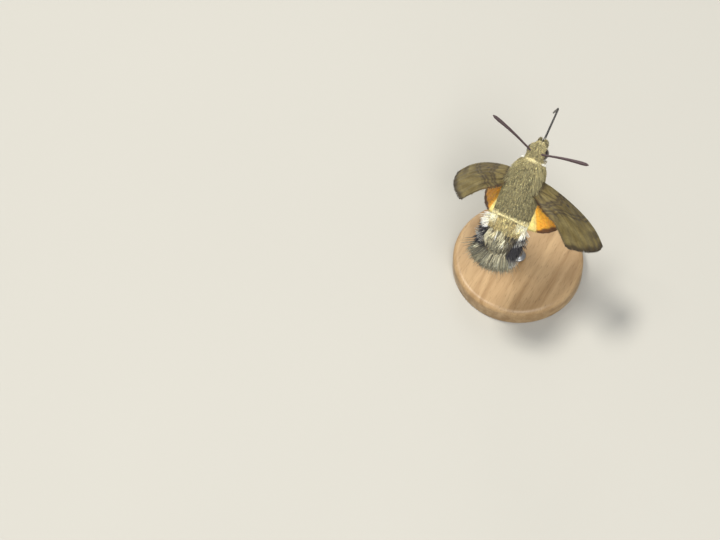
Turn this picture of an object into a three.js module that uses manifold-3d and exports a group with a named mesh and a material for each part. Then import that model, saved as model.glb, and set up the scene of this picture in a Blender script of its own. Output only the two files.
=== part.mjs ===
// A life-size hummingbird hawk moth, hovering head up with its long proboscis bent down at a
// knee, held over a round display base by one thin rod.
// Millimetres, +Z up, +Y the way the moth heads, +X to its right.
// The origin is the centre of the underside of the base.
// The moth itself is modelled level, round the middle of its thorax, in a group that is then
// pitched head up and lifted onto the rod.
import * as THREE from "three";
import { mergeVertices } from "three/addons/utils/BufferGeometryUtils.js";
import Module from "manifold-3d";

const wasm = await Module();
wasm.setup();

const DEG = Math.PI / 180;

// Driving sizes of a mid-sized adult.
const BODY_LENGTH = 30; // front of the palps to the tips of the tail fan
const FOREWING_LENGTH = 0.7 * BODY_LENGTH;
const HINDWING_LENGTH = 0.62 * FOREWING_LENGTH;
const ANTENNA_LENGTH = 0.39 * BODY_LENGTH;
const PROBOSCIS_LENGTH = 0.83 * BODY_LENGTH;

// The gap that two touching pieces keep.
const GAP = 0.3;

// The stance: how far the head end is raised, and how high the thorax hangs over the floor.
const PITCH = 42 * DEG;
const HOVER_HEIGHT = 1.2 * BODY_LENGTH;

// Sizes of the three body sections. Places along the body are measured from the middle of
// the thorax, positive towards the head.
const THORAX_LENGTH = 0.345 * BODY_LENGTH;
const THORAX_WIDTH = 0.283 * BODY_LENGTH;
const THORAX_HEIGHT = 0.25 * BODY_LENGTH;
const HEAD_LENGTH = 0.15 * BODY_LENGTH;
const HEAD_WIDTH = 0.14 * BODY_LENGTH;
const HEAD_HEIGHT = 0.148 * BODY_LENGTH;
const HEAD_FRONT = THORAX_LENGTH / 2 + 0.86 * HEAD_LENGTH;
const ABDOMEN_LENGTH = 0.43 * BODY_LENGTH;
const ABDOMEN_WIDTH = 0.272 * BODY_LENGTH;
const ABDOMEN_HEIGHT = 0.19 * BODY_LENGTH;
const ABDOMEN_FRONT = -0.35 * THORAX_LENGTH;
const ABDOMEN_END = ABDOMEN_FRONT - ABDOMEN_LENGTH;
const TAIL_TIP = HEAD_FRONT + 0.02 * BODY_LENGTH - BODY_LENGTH;
const TAIL_RISE = 0.07 * BODY_LENGTH; // how far the tail tip is bent up
const TAIL_SWING = -0.02 * BODY_LENGTH; // and to the left

const EYE_RADIUS = 0.3 * HEAD_WIDTH;
const WING_THICKNESS = 0.5;

// The finishes.
const fur = new THREE.MeshStandardMaterial({ color: 0x7d7350, roughness: 0.95 });
const tuftBlack = new THREE.MeshStandardMaterial({ color: 0x3a352c, roughness: 0.95 });
const eyeBrown = new THREE.MeshStandardMaterial({ color: 0x2a1d14, roughness: 0.25 });
const horn = new THREE.MeshStandardMaterial({ color: 0x4a3326, roughness: 0.6 });
const dark = new THREE.MeshStandardMaterial({ color: 0x1d1814, roughness: 0.45 });
const wingBrown = new THREE.MeshStandardMaterial({ color: 0x6c5f45, roughness: 0.85 });
const wingOrange = new THREE.MeshStandardMaterial({ color: 0xe08a24, roughness: 0.8 });
const wood = new THREE.MeshStandardMaterial({ color: 0xd8b98a, roughness: 0.6 });
const steel = new THREE.MeshStandardMaterial({ color: 0xb8bbbd, roughness: 0.3, metalness: 1 });

// A closed geometry as a solid that can be joined and cut.
function toSolid(geometry) {
  const bare = new THREE.BufferGeometry();
  bare.setAttribute("position", geometry.getAttribute("position"));
  if (geometry.index) bare.setIndex(geometry.index);
  const merged = mergeVertices(bare, 1e-4);
  return new wasm.Manifold(
    new wasm.Mesh({
      numProp: 3,
      vertProperties: new Float32Array(merged.attributes.position.array),
      triVerts: new Uint32Array(merged.index.array),
    }),
  );
}

// The largest closed surface of a solid, as a geometry.
function toGeometry(solid) {
  const largest = solid
    .decompose()
    .reduce((most, piece) => (piece.volume() > most.volume() ? piece : most));
  const mesh = largest.getMesh();
  const geometry = new THREE.BufferGeometry();
  geometry.setAttribute("position", new THREE.BufferAttribute(mesh.vertProperties, 3));
  geometry.setIndex(new THREE.BufferAttribute(mesh.triVerts, 1));
  geometry.computeVertexNormals();
  return geometry;
}

// One body from overlapping pieces.
function fuse(pieces) {
  return toGeometry(pieces.map(toSolid).reduce((all, next) => all.add(next)));
}

// A piece without what the cutters take.
function trim(piece, ...cutters) {
  return toGeometry(
    cutters.map(toSolid).reduce((rest, cutter) => rest.subtract(cutter), toSolid(piece)),
  );
}

// The same piece on the other side of the body's middle plane.
function mirrored(geometry) {
  const other = geometry.clone().applyMatrix4(new THREE.Matrix4().makeScale(-1, 1, 1));
  const index = other.index.array;
  for (let i = 0; i < index.length; i += 3) {
    [index[i + 1], index[i + 2]] = [index[i + 2], index[i + 1]];
  }
  return other;
}

// A value of each column at t, from 0 to 1, on a Catmull-Rom curve through rows of numbers.
function smoothRow(rows, t) {
  const at = Math.min(t * (rows.length - 1), rows.length - 1 - 1e-9);
  const i = Math.floor(at);
  const f = at - i;
  const [a, b, c, d] = [i - 1, i, i + 1, i + 2].map(
    (k) => rows[Math.min(Math.max(k, 0), rows.length - 1)],
  );
  return b.map(
    (_, k) =>
      0.5 *
      (2 * b[k] +
        (c[k] - a[k]) * f +
        (2 * a[k] - 5 * b[k] + 4 * c[k] - d[k]) * f * f +
        (3 * b[k] - a[k] - 3 * c[k] + d[k]) * f * f * f),
  );
}

// A closed skin over rings of equal length, with each end drawn in to a point.
function skin(rings, first, last) {
  const sides = rings[0].length;
  const points = [first, ...rings.flat(), last];
  const index = [];
  for (let k = 0; k < sides; k++) {
    const next = (k + 1) % sides;
    index.push(0, 1 + next, 1 + k);
    for (let i = 0; i < rings.length - 1; i++) {
      const here = 1 + i * sides;
      const there = here + sides;
      index.push(here + k, here + next, there + next);
      index.push(here + k, there + next, there + k);
    }
    const end = 1 + (rings.length - 1) * sides;
    index.push(end + k, end + next, points.length - 1);
  }
  const geometry = new THREE.BufferGeometry().setFromPoints(points);
  geometry.setIndex(index);
  return geometry;
}

// How far back the body is bent: 0 up to the end of the thorax, 1 at the tail tip.
function bendAt(y) {
  const behind = Math.max(0, -THORAX_LENGTH / 2 - y);
  return (behind / (-THORAX_LENGTH / 2 - TAIL_TIP)) ** 2;
}

// The middle line of the body at a place along it.
function bodyMiddle(y) {
  return new THREE.Vector3(TAIL_SWING * bendAt(y), y, TAIL_RISE * bendAt(y));
}

// A body section between two places along the body. Its rows hold the place as a share of
// the length, then the half width and the height above and below the middle, as shares.
// Its front end can nod down. It can be grown by a gap, for cutting its neighbours clear.
function bodySection({ from, to, width, height, rows, sides, steps, nod = 0 }, grow = 0) {
  const place = (share) => from + (to - from) * share;
  const middle = (share) => {
    const centre = bodyMiddle(place(share) + grow * (1 - 2 * share));
    centre.z -= nod * (1 - share) ** 2;
    return centre;
  };
  const rings = [];
  for (let i = 1; i < steps; i++) {
    const [share, wide, over, under] = smoothRow(rows, i / steps);
    const centre = middle(share);
    const ring = [];
    for (let k = 0; k < sides; k++) {
      const angle = (2 * Math.PI * k) / sides;
      const reach = Math.sin(angle) > 0 ? over : under;
      ring.push(
        new THREE.Vector3(
          centre.x + Math.cos(angle) * ((wide * width) / 2 + grow),
          centre.y,
          centre.z + Math.sin(angle) * ((reach * height) / 2 + grow),
        ),
      );
    }
    rings.push(ring);
  }
  return skin(rings, middle(0), middle(1));
}

// The form swept along a path, with its half width and half thickness at each point.
// The side direction starts square to the up vector and is carried along the path.
function sweep(path, halfSizes, sides, up) {
  const normal = up.clone();
  const rings = path.map((point, i) => {
    const ahead = path[Math.min(i + 1, path.length - 1)];
    const behind = path[Math.max(i - 1, 0)];
    const along = ahead.clone().sub(behind).normalize();
    normal.addScaledVector(along, -normal.dot(along)).normalize();
    const side = along.clone().cross(normal);
    const [wide, thick] = halfSizes[i];
    return Array.from({ length: sides }, (_, k) => {
      const angle = (-2 * Math.PI * k) / sides;
      return point
        .clone()
        .addScaledVector(side, Math.cos(angle) * wide)
        .addScaledVector(normal, Math.sin(angle) * thick);
    });
  });
  return skin(rings, path[0], path[path.length - 1]);
}

// A round limb: a smooth path through a few joints, with a radius at each of them.
function limb(joints, radii, sides, steps, up = new THREE.Vector3(0, 0, 1)) {
  const rows = joints.map((joint, i) => [...joint, radii[i]]);
  const path = [];
  const halfSizes = [];
  for (let i = 0; i <= steps; i++) {
    const [x, y, z, radius] = smoothRow(rows, i / steps);
    path.push(new THREE.Vector3(x, y, z));
    halfSizes.push([radius, radius]);
  }
  return sweep(path, halfSizes, sides, up);
}

// The thorax: broad shoulders close behind the head, fullest at the wings.
const thorax = {
  from: THORAX_LENGTH / 2,
  to: -THORAX_LENGTH / 2,
  width: THORAX_WIDTH,
  height: THORAX_HEIGHT,
  sides: 28,
  steps: 20,
  rows: [
    [0, 0, 0, 0],
    [0.01, 0.34, 0.34, 0.32],
    [0.04, 0.54, 0.58, 0.54],
    [0.12, 0.72, 0.8, 0.76],
    [0.24, 0.85, 0.94, 0.92],
    [0.4, 0.94, 1, 1],
    [0.56, 0.99, 0.99, 1],
    [0.74, 1, 0.93, 0.95],
    [0.88, 0.95, 0.84, 0.86],
    [0.95, 0.8, 0.68, 0.7],
    [0.99, 0.46, 0.4, 0.4],
    [1, 0, 0, 0],
  ],
};

// The head: a low rounded wedge, set into the front of the thorax.
const head = {
  from: HEAD_FRONT,
  to: HEAD_FRONT - 1.25 * HEAD_LENGTH,
  width: HEAD_WIDTH,
  height: HEAD_HEIGHT,
  nod: 0.16 * HEAD_HEIGHT,
  sides: 24,
  steps: 14,
  rows: [
    [0, 0, 0, 0],
    [0.02, 0.3, 0.26, 0.34],
    [0.1, 0.6, 0.52, 0.66],
    [0.25, 0.88, 0.8, 0.92],
    [0.42, 1, 0.98, 1],
    [0.6, 0.98, 1, 0.94],
    [0.8, 0.94, 0.96, 0.86],
    [0.97, 0.7, 0.7, 0.6],
    [1, 0, 0, 0],
  ],
};

// The abdomen: flattened, and broadest behind its middle.
const abdomen = {
  from: ABDOMEN_FRONT,
  to: ABDOMEN_END,
  width: ABDOMEN_WIDTH,
  height: ABDOMEN_HEIGHT,
  sides: 28,
  steps: 20,
  rows: [
    [0, 0, 0, 0],
    [0.02, 0.7, 0.76, 0.76],
    [0.1, 0.94, 1.06, 1.04],
    [0.25, 1.02, 1.08, 1.04],
    [0.45, 1.03, 1.02, 1],
    [0.62, 1, 0.92, 0.9],
    [0.78, 0.9, 0.76, 0.74],
    [0.9, 0.7, 0.52, 0.5],
    [0.98, 0.38, 0.26, 0.26],
    [1, 0, 0, 0],
  ],
};

// The core of the tail fan: it carries the locks and reaches less than half way to their tips.
const TAIL_LENGTH = ABDOMEN_END - TAIL_TIP;
const tailCore = {
  from: ABDOMEN_END + 0.6 * TAIL_LENGTH,
  to: ABDOMEN_END - 0.4 * TAIL_LENGTH,
  width: 0.62 * ABDOMEN_WIDTH,
  height: 0.3 * ABDOMEN_HEIGHT,
  sides: 16,
  steps: 8,
  rows: [
    [0, 0, 0, 0],
    [0.04, 0.5, 0.8, 0.8],
    [0.4, 0.8, 1, 1],
    [0.8, 1, 0.8, 0.8],
    [0.96, 0.7, 0.4, 0.4],
    [1, 0, 0, 0],
  ],
};

// A number from 0 to 1 that varies from lock to lock, the same in every run.
function vary(seed) {
  const wave = Math.sin(seed * 12.9898) * 43758.5453;
  return wave - Math.floor(wave);
}

// One flat lock of long scales, tapered from its root to its tip. It bends with the square of
// the way along it.
function lock(root, tip, width, thick, bend, grow = 0) {
  const along = tip.clone().sub(root);
  along.setLength(along.length() + grow);
  const shape = [
    [0, 0.8],
    [0.3, 1],
    [0.6, 0.85],
    [0.85, 0.5],
    [1, 0.1],
  ];
  const path = shape.map(([share]) =>
    root
      .clone()
      .addScaledVector(along, share)
      .addScaledVector(bend, share * share),
  );
  const halfSizes = shape.map(([share, part]) => [
    (width / 2) * part + grow,
    (thick / 2) * (share < 0.7 ? 1 : part) + grow,
  ]);
  return sweep(path, halfSizes, 4, new THREE.Vector3(0, 0, 1));
}

// The tail fan's locks, in three layers: each spreads from the end of the abdomen, the
// outer ones are shorter, and the layers lie over each other from the back down.
const TAIL_LAYERS = 3;
const TAIL_LOCKS = 9;
const TAIL_SPREAD = 45 * DEG;
const TAIL_ROOT = ABDOMEN_END + 0.35 * TAIL_LENGTH;
const TAIL_LOCK_WIDTH = 0.055 * BODY_LENGTH;

function tailLocks() {
  const locks = [];
  for (let layer = 0; layer < TAIL_LAYERS; layer++) {
    const high = 1 - layer;
    for (let i = 0; i < TAIL_LOCKS; i++) {
      const seed = layer * TAIL_LOCKS + i;
      const across = ((i + 0.5 * (layer % 2)) / (TAIL_LOCKS - 0.5)) * 2 - 1;
      const angle = across * TAIL_SPREAD;
      const reach = (TAIL_ROOT - TAIL_TIP) * (1.04 - 0.1 * vary(seed) - 0.06 * Math.abs(high));
      const root = bodyMiddle(TAIL_ROOT);
      root.x += 0.2 * ABDOMEN_WIDTH * across;
      root.z += 0.05 * ABDOMEN_HEIGHT * high;
      const tip = bodyMiddle(TAIL_TIP);
      tip.x += reach * Math.sin(angle) * 0.92;
      tip.y = TAIL_ROOT - reach * Math.cos(angle * 0.86);
      tip.z += 0.16 * ABDOMEN_HEIGHT * high + 0.3 * (vary(seed + 50) - 0.5);
      const width = TAIL_LOCK_WIDTH * (0.85 + 0.35 * vary(seed + 90));
      locks.push(lock(root, tip, width, 0.7, new THREE.Vector3(0, 0, 0.15 * high)));
    }
  }
  return locks;
}

// The tufts on both sides of the abdomen: rows of locks from the side of it, pointing out and
// back. The hind ones stand out furthest, and those on the left are spread wider.
const TUFT_PLACES = 5;
const TUFT_ROWS = 3;
const TUFT_FRONT = ABDOMEN_FRONT - 0.5 * ABDOMEN_LENGTH;
const TUFT_BACK = ABDOMEN_FRONT - 0.86 * ABDOMEN_LENGTH;
const TUFT_WIDTH = 0.058 * BODY_LENGTH;
const rightTufts = { reach: [2.4, 3.9], lean: [46 * DEG, 54 * DEG] };
const leftTufts = { reach: [3.5, 4.4], lean: [28 * DEG, 44 * DEG] };

// The locks of one side, laid on the right: lean is the angle between a lock and the line
// straight out from the body.
function tuftLocks({ reach, lean }, grow) {
  const locks = [];
  for (let place = 0; place < TUFT_PLACES; place++) {
    const share = place / (TUFT_PLACES - 1);
    for (let row = 0; row < TUFT_ROWS; row++) {
      const seed = 200 + place * TUFT_ROWS + row;
      const high = 1 - row;
      const y = THREE.MathUtils.lerp(TUFT_FRONT, TUFT_BACK, share);
      const wide = 0.5 * ABDOMEN_WIDTH * THREE.MathUtils.lerp(1, 0.72, share ** 1.6);
      const root = bodyMiddle(y);
      root.x = 0.6 * wide;
      root.z += 0.12 * ABDOMEN_HEIGHT * high;
      const length = THREE.MathUtils.lerp(...reach, share) * (0.9 + 0.2 * vary(seed));
      const angle = THREE.MathUtils.lerp(...lean, share);
      const tip = root.clone();
      tip.x += length * Math.cos(angle);
      tip.y -= length * Math.sin(angle) + 0.3 * Math.abs(high);
      tip.z += 0.12 * ABDOMEN_HEIGHT * high + 0.25 * (vary(seed + 40) - 0.5);
      const width = TUFT_WIDTH * (0.85 + 0.3 * vary(seed + 70));
      const bend = new THREE.Vector3(-0.25, -0.2, 0.1 * high);
      locks.push(lock(root, tip, width, 0.75, bend, grow));
    }
  }
  return locks;
}

function sideTufts(grow = 0) {
  return [...tuftLocks(rightTufts, grow), ...tuftLocks(leftTufts, grow).map(mirrored)];
}

// One compound eye, on the right: a tall ellipsoid let into the side of the head.
function eyeForm(grow = 0) {
  const eye = new THREE.SphereGeometry(1, 16, 12);
  eye.scale(0.9 * EYE_RADIUS + grow, 1.05 * EYE_RADIUS + grow, 1.15 * EYE_RADIUS + grow);
  eye.translate(0.32 * HEAD_WIDTH, HEAD_FRONT - 0.5 * HEAD_LENGTH, -0.1 * HEAD_HEIGHT);
  return eye;
}

// One antenna from its foot on the crown: it thickens slowly into a club, then a short point.
function antenna(side, forward, raise) {
  const foot = new THREE.Vector3(
    side * 0.3 * HEAD_WIDTH,
    HEAD_FRONT - 0.5 * HEAD_LENGTH,
    0.28 * HEAD_HEIGHT,
  );
  const out = Math.cos(forward) * Math.cos(raise);
  const ahead = Math.sin(forward) * Math.cos(raise);
  const direction = new THREE.Vector3(side * out, ahead, Math.sin(raise));
  const radii = [0.26, 0.25, 0.28, 0.34, 0.4, 0.43, 0.34, 0.08];
  const shares = [-0.06, 0.12, 0.32, 0.52, 0.72, 0.86, 0.95, 1];
  const joints = shares.map((share) => {
    const bow = 0.02 * ANTENNA_LENGTH * Math.sin(Math.PI * Math.max(share, 0));
    return foot
      .clone()
      .addScaledVector(direction, share * ANTENNA_LENGTH)
      .add(new THREE.Vector3(0, bow, 0));
  });
  return limb(joints, radii, 8, 24);
}

// One labial palp, on the right: short and stout, turned up in front of the face, and drawn in
// towards the other so that the two make a snout.
function palp() {
  const x = 0.15 * HEAD_WIDTH + GAP / 2;
  const joints = [
    [x, HEAD_FRONT - 0.56 * HEAD_LENGTH, -0.6 * HEAD_HEIGHT],
    [x, HEAD_FRONT - 0.24 * HEAD_LENGTH, -0.58 * HEAD_HEIGHT],
    [0.9 * x, HEAD_FRONT - 0.01 * HEAD_LENGTH, -0.42 * HEAD_HEIGHT],
    [0.6 * x, HEAD_FRONT + 0.15 * HEAD_LENGTH, -0.2 * HEAD_HEIGHT],
  ];
  return limb(joints, [0.3, 0.56, 0.52, 0.14], 8, 8);
}

// The proboscis: straight ahead to a knee, then down to its tip.
const KNEE = new THREE.Vector3(-0.1, HEAD_FRONT + 0.24 * BODY_LENGTH, -0.14 * BODY_LENGTH);
const DOWN = new THREE.Vector3(-0.235, -0.25, -0.94).normalize();

function proboscis(grow = 0) {
  const foot = new THREE.Vector3(0, HEAD_FRONT - 0.3 * HEAD_LENGTH, -0.42 * HEAD_HEIGHT);
  const ahead = KNEE.clone().sub(foot);
  const rest = PROBOSCIS_LENGTH - ahead.length();
  const joints = [0, 0.25, 0.5, 0.75, 0.93].map((s) => foot.clone().addScaledVector(ahead, s));
  joints.push(KNEE.clone().addScaledVector(DOWN, 0.06 * rest));
  joints.push(...[0.25, 0.5, 0.75, 1].map((s) => KNEE.clone().addScaledVector(DOWN, s * rest)));
  const radii = [0.34, 0.3, 0.28, 0.27, 0.26, 0.26, 0.26, 0.26, 0.25, 0.18].map((r) => r + grow);
  return limb(joints, radii, 8, 34, new THREE.Vector3(1, 0, 0));
}

// A wing lies in a flat plan first: u runs from the root to the tip and v towards the leading
// edge, both as shares of the wing length. Its leading edge ends at the tip and its trailing
// edge at the hind corner, and the margin between them bulges out. Each vein has its place
// between the two edges, 0 to 1, and the share of its length where it leaves the cell.
const forewingPlan = {
  length: FOREWING_LENGTH,
  camber: 0.035,
  steps: 11,
  leading: [[0, 0.05], [0.16, 0.08], [0.42, 0.1], [0.66, 0.098], [0.86, 0.06], [1, -0.01]],
  trailing: [[0, -0.094], [0.08, -0.13], [0.18, -0.178], [0.3, -0.232], [0.43, -0.3], [0.56, -0.375]],
  bulge: [0.1, 0],
  veins: [
    [0, 0], [0.08, 0], [0.18, 0], [0.29, 0.4], [0.41, 0.45],
    [0.53, 0.4], [0.65, 0], [0.77, 0], [0.89, 0], [1, 0],
  ],
};
const hindwingPlan = {
  length: HINDWING_LENGTH,
  camber: 0.03,
  steps: 8,
  leading: [[0, 0.07], [0.23, 0.165], [0.5, 0.215], [0.76, 0.2], [0.96, 0.1]],
  trailing: [[0, -0.105], [0.06, -0.2], [0.12, -0.3], [0.19, -0.4], [0.27, -0.485]],
  bulge: [0.17, -0.06],
  veins: [[0, 0], [0.13, 0], [0.28, 0.35], [0.43, 0.35], [0.58, 0], [0.73, 0], [0.87, 0], [1, 0]],
};
const VEIN_HEIGHT = 0.13;
const VEIN_FOOT = 0.3; // how far a vein's flank reaches, as a share of the way to the next

// The rows of points that run along the wing: each vein, and the feet of its flanks.
function wingRows(veins) {
  return veins.flatMap(([at, from], i) => {
    if (i === veins.length - 1) return [{ at, from }];
    const step = veins[i + 1][0] - at;
    return [
      { at, from },
      { at: at + VEIN_FOOT * step, from: Infinity },
      { at: at + (1 - VEIN_FOOT) * step, from: Infinity },
    ];
  });
}

// One right wing in its own frame: x along u, y along v, z up, the root at the origin. Both
// faces have the same triangles.
function wingForm({ length, camber, steps, leading, trailing, bulge, veins }) {
  const rows = wingRows(veins);
  const upper = [];
  const lower = [];
  for (let i = 0; i <= steps; i++) {
    const s = i / steps;
    const front = smoothRow(leading, s);
    const back = smoothRow(trailing, s);
    for (const { at, from } of rows) {
      const swell = 4 * at * (1 - at) * s ** 2;
      const u = length * (THREE.MathUtils.lerp(front[0], back[0], at) + bulge[0] * swell);
      const v = length * (THREE.MathUtils.lerp(front[1], back[1], at) + bulge[1] * swell);
      const lift = length * camber * Math.sin(Math.PI * at) * Math.sin(Math.PI * (0.15 + 0.7 * s));
      const ridge = s >= from ? VEIN_HEIGHT * (1 - s ** 6) : 0;
      const half = (WING_THICKNESS / 2) * (1 - 0.3 * s ** 8) + ridge;
      upper.push(new THREE.Vector3(u, v, lift + half));
      lower.push(new THREE.Vector3(u, v, lift - half));
    }
  }
  const across = rows.length;
  const under = upper.length;
  const index = [];
  const quad = (a, b, c, d) => index.push(a, b, c, a, c, d);
  for (let i = 0; i < steps; i++) {
    const front = i * across;
    const back = front + across - 1;
    for (let a = front; a < back; a++) {
      const b = under + a;
      quad(a, a + 1, a + across + 1, a + across);
      index.push(b, b + across + 1, b + 1, b, b + across, b + across + 1);
    }
    quad(front, front + across, under + front + across, under + front);
    quad(back, under + back, under + back + across, back + across);
  }
  const tip = steps * across;
  for (let r = 0; r < across - 1; r++) {
    quad(r, under + r, under + r + 1, r + 1);
    quad(tip + r, tip + r + 1, under + tip + r + 1, under + tip + r);
  }
  const geometry = new THREE.BufferGeometry().setFromPoints([...upper, ...lower]);
  geometry.setIndex(index);
  return geometry;
}

// Lays a right wing at its root: twisted about a line just behind its leading edge, more
// towards the tip than at the root, then swept back and let down.
function setWing(geometry, { root, sweepBack, drop, rootTwist, tipTwist }) {
  const place = geometry.attributes.position;
  const reach = 0.35 * FOREWING_LENGTH;
  const hinge = 0.07 * FOREWING_LENGTH;
  const length = new THREE.Vector3(1, 0, 0);
  const point = new THREE.Vector3();
  for (let i = 0; i < place.count; i++) {
    point.fromBufferAttribute(place, i);
    const share = THREE.MathUtils.smoothstep(point.x, 0, reach);
    const hingeHere = hinge * share;
    point.y -= hingeHere;
    point.applyAxisAngle(length, -THREE.MathUtils.lerp(rootTwist, tipTwist, share));
    place.setXYZ(i, point.x, point.y + hingeHere, point.z);
  }
  const turn = new THREE.Matrix4()
    .makeRotationZ(-sweepBack)
    .premultiply(new THREE.Matrix4().makeRotationY(drop));
  return geometry.applyMatrix4(turn.setPosition(...root));
}

const forewingPose = {
  root: [0.38 * THORAX_WIDTH, 0.08 * THORAX_LENGTH, 0.24 * THORAX_HEIGHT],
  rootTwist: 12 * DEG,
};
const hindwingPose = {
  root: [0.38 * THORAX_WIDTH, -0.2 * THORAX_LENGTH, -0.02 * THORAX_HEIGHT],
  rootTwist: 4 * DEG,
  tipTwist: 4 * DEG,
};
// Both pairs are well down in their stroke, the hindwings steeper. Those on the right are swept
// further back, and the right forewing's trailing edge is turned further under.
const rightStroke = {
  fore: { sweepBack: 25 * DEG, drop: 40 * DEG, tipTwist: 42 * DEG },
  hind: { sweepBack: 24 * DEG, drop: 60 * DEG },
};
const leftStroke = {
  fore: { sweepBack: 20 * DEG, drop: 48 * DEG, tipTwist: 26 * DEG },
  hind: { sweepBack: 22 * DEG, drop: 58 * DEG },
};

// The legs are drawn up against the belly. Each is given on the right by its joints: hip,
// knee, heel, and the two ends of the foot.
const BELLY = -THORAX_HEIGHT / 2;
const legs = {
  front: [
    [0.9, 2.6, BELLY + 1.6],
    [1.5, 4.6, BELLY - 0.1],
    [1.1, 3.2, BELLY - 1.1],
    [0.9, 0.6, BELLY - 1.7],
    [0.8, -1.6, BELLY - 1.9],
  ],
  middle: [
    [2.1, 0.6, BELLY + 1.8],
    [3.1, -0.8, BELLY - 0.1],
    [2.5, -3.6, BELLY - 0.5],
    [2.2, -6.2, BELLY - 0.6],
    [2.1, -8.2, BELLY - 0.4],
  ],
  hind: [
    [1.1, -1.9, BELLY + 1.5],
    [1.3, -3.4, BELLY - 0.5],
    [1.0, -6.6, BELLY - 0.4],
    [0.7, -9.6, BELLY + 0.1],
    [0.7, -12.2, BELLY + 0.6],
  ],
};
const LEG_RADII = [0.55, 0.5, 0.4, 0.3, 0.24];

// The display stand: a turned disc and a rod with a small foot.
const BASE_RADIUS = 0.48 * BODY_LENGTH;
const BASE_HEIGHT = 4.5;
const BASE_ROUNDING = 1.2;
const ROD_RADIUS = 0.8;
const ROD_FOOT_RADIUS = 1.6;
const ROD_FOOT_HEIGHT = 0.9;

function base() {
  const profile = [new THREE.Vector2(0, 0), new THREE.Vector2(BASE_RADIUS - 0.4, 0)];
  profile.push(new THREE.Vector2(BASE_RADIUS, 0.4));
  for (let i = 0; i <= 4; i++) {
    const angle = (i / 4) * (Math.PI / 2);
    profile.push(
      new THREE.Vector2(
        BASE_RADIUS - BASE_ROUNDING + BASE_ROUNDING * Math.cos(angle),
        BASE_HEIGHT - BASE_ROUNDING + BASE_ROUNDING * Math.sin(angle),
      ),
    );
  }
  profile.push(new THREE.Vector2(0, BASE_HEIGHT));
  return new THREE.LatheGeometry(profile, 42).rotateX(Math.PI / 2);
}

function rod() {
  const foot = BASE_HEIGHT + GAP;
  const profile = [
    [0, foot],
    [ROD_FOOT_RADIUS, foot],
    [ROD_FOOT_RADIUS, foot + 0.4 * ROD_FOOT_HEIGHT],
    [ROD_FOOT_RADIUS - 0.3, foot + ROD_FOOT_HEIGHT],
    [ROD_RADIUS, foot + ROD_FOOT_HEIGHT],
    [ROD_RADIUS, HOVER_HEIGHT],
    [0, HOVER_HEIGHT],
  ].map(([r, z]) => new THREE.Vector2(r, z));
  return new THREE.LatheGeometry(profile, 20).rotateX(Math.PI / 2);
}

const model = new THREE.Group();
const moth = new THREE.Group();
moth.position.z = HOVER_HEIGHT;
moth.rotation.x = PITCH;
model.add(moth);
model.updateMatrixWorld(true);

function addPiece(group, name, geometry, material) {
  const mesh = new THREE.Mesh(geometry, material);
  mesh.name = name;
  group.add(mesh);
}

// A right-hand piece and its mirror image on the left.
function addPair(name, geometry, material) {
  addPiece(moth, name + "_right", geometry, material);
  addPiece(moth, name + "_left", mirrored(geometry), material);
}

const roundThorax = bodySection(thorax, GAP);
const roundHead = bodySection(head, GAP);
const roundAbdomen = bodySection(abdomen, GAP);

addPiece(moth, "thorax", bodySection(thorax), fur);
addPiece(
  moth,
  "head",
  trim(bodySection(head), roundThorax, eyeForm(GAP), mirrored(eyeForm(GAP))),
  fur,
);
addPiece(
  moth,
  "abdomen",
  fuse([trim(bodySection(abdomen), roundThorax), ...sideTufts()]),
  fur,
);
addPiece(
  moth,
  "tail_fan",
  trim(fuse([bodySection(tailCore), ...tailLocks()]), roundAbdomen, ...sideTufts(GAP)),
  tuftBlack,
);
addPair("eye", toGeometry(toSolid(eyeForm())), eyeBrown);
addPair("palp", trim(palp(), roundHead, proboscis(GAP)), fur);
addPiece(moth, "proboscis", trim(proboscis(), roundHead), dark);
addPiece(moth, "antenna_right", trim(antenna(1, 14 * DEG, 17 * DEG), roundHead, eyeForm(GAP)), horn);
addPiece(
  moth,
  "antenna_left",
  trim(antenna(-1, 28 * DEG, 30 * DEG), roundHead, mirrored(eyeForm(GAP))),
  horn,
);
const wing = (plan, pose, stroke) =>
  trim(setWing(wingForm(plan), { ...pose, ...stroke }), roundThorax, roundAbdomen);
const forewing = ({ fore }) => wing(forewingPlan, forewingPose, fore);
const hindwing = ({ hind }) => wing(hindwingPlan, hindwingPose, hind);
addPiece(moth, "forewing_right", forewing(rightStroke), wingBrown);
addPiece(moth, "forewing_left", mirrored(forewing(leftStroke)), wingBrown);
addPiece(moth, "hindwing_right", hindwing(rightStroke), wingOrange);
addPiece(moth, "hindwing_left", mirrored(hindwing(leftStroke)), wingOrange);
for (const [name, joints] of Object.entries(legs)) {
  addPair("leg_" + name, trim(limb(joints, LEG_RADII, 8, 16), roundThorax, roundAbdomen), horn);
}
addPiece(model, "stand_base", base(), wood);
addPiece(
  model,
  "stand_rod",
  trim(rod(), roundThorax.clone().applyMatrix4(moth.matrixWorld)),
  steel,
);

export default model;
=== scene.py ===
"""A life-size hummingbird hawk moth on a plain display stand, dressed for the picture.

All shapes are worked out in millimetres in the moth's own frame: its origin is the middle of the
thorax, x runs to the moth's right, y towards its head and z to its back. The moth is then pitched
head up, lifted onto its rod and turned into metres, and so it lies where the solids lie.
"""

import logging
import math
from dataclasses import dataclass
from enum import Enum

import bpy
import numpy as np
from mathutils import Matrix, Vector


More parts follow.
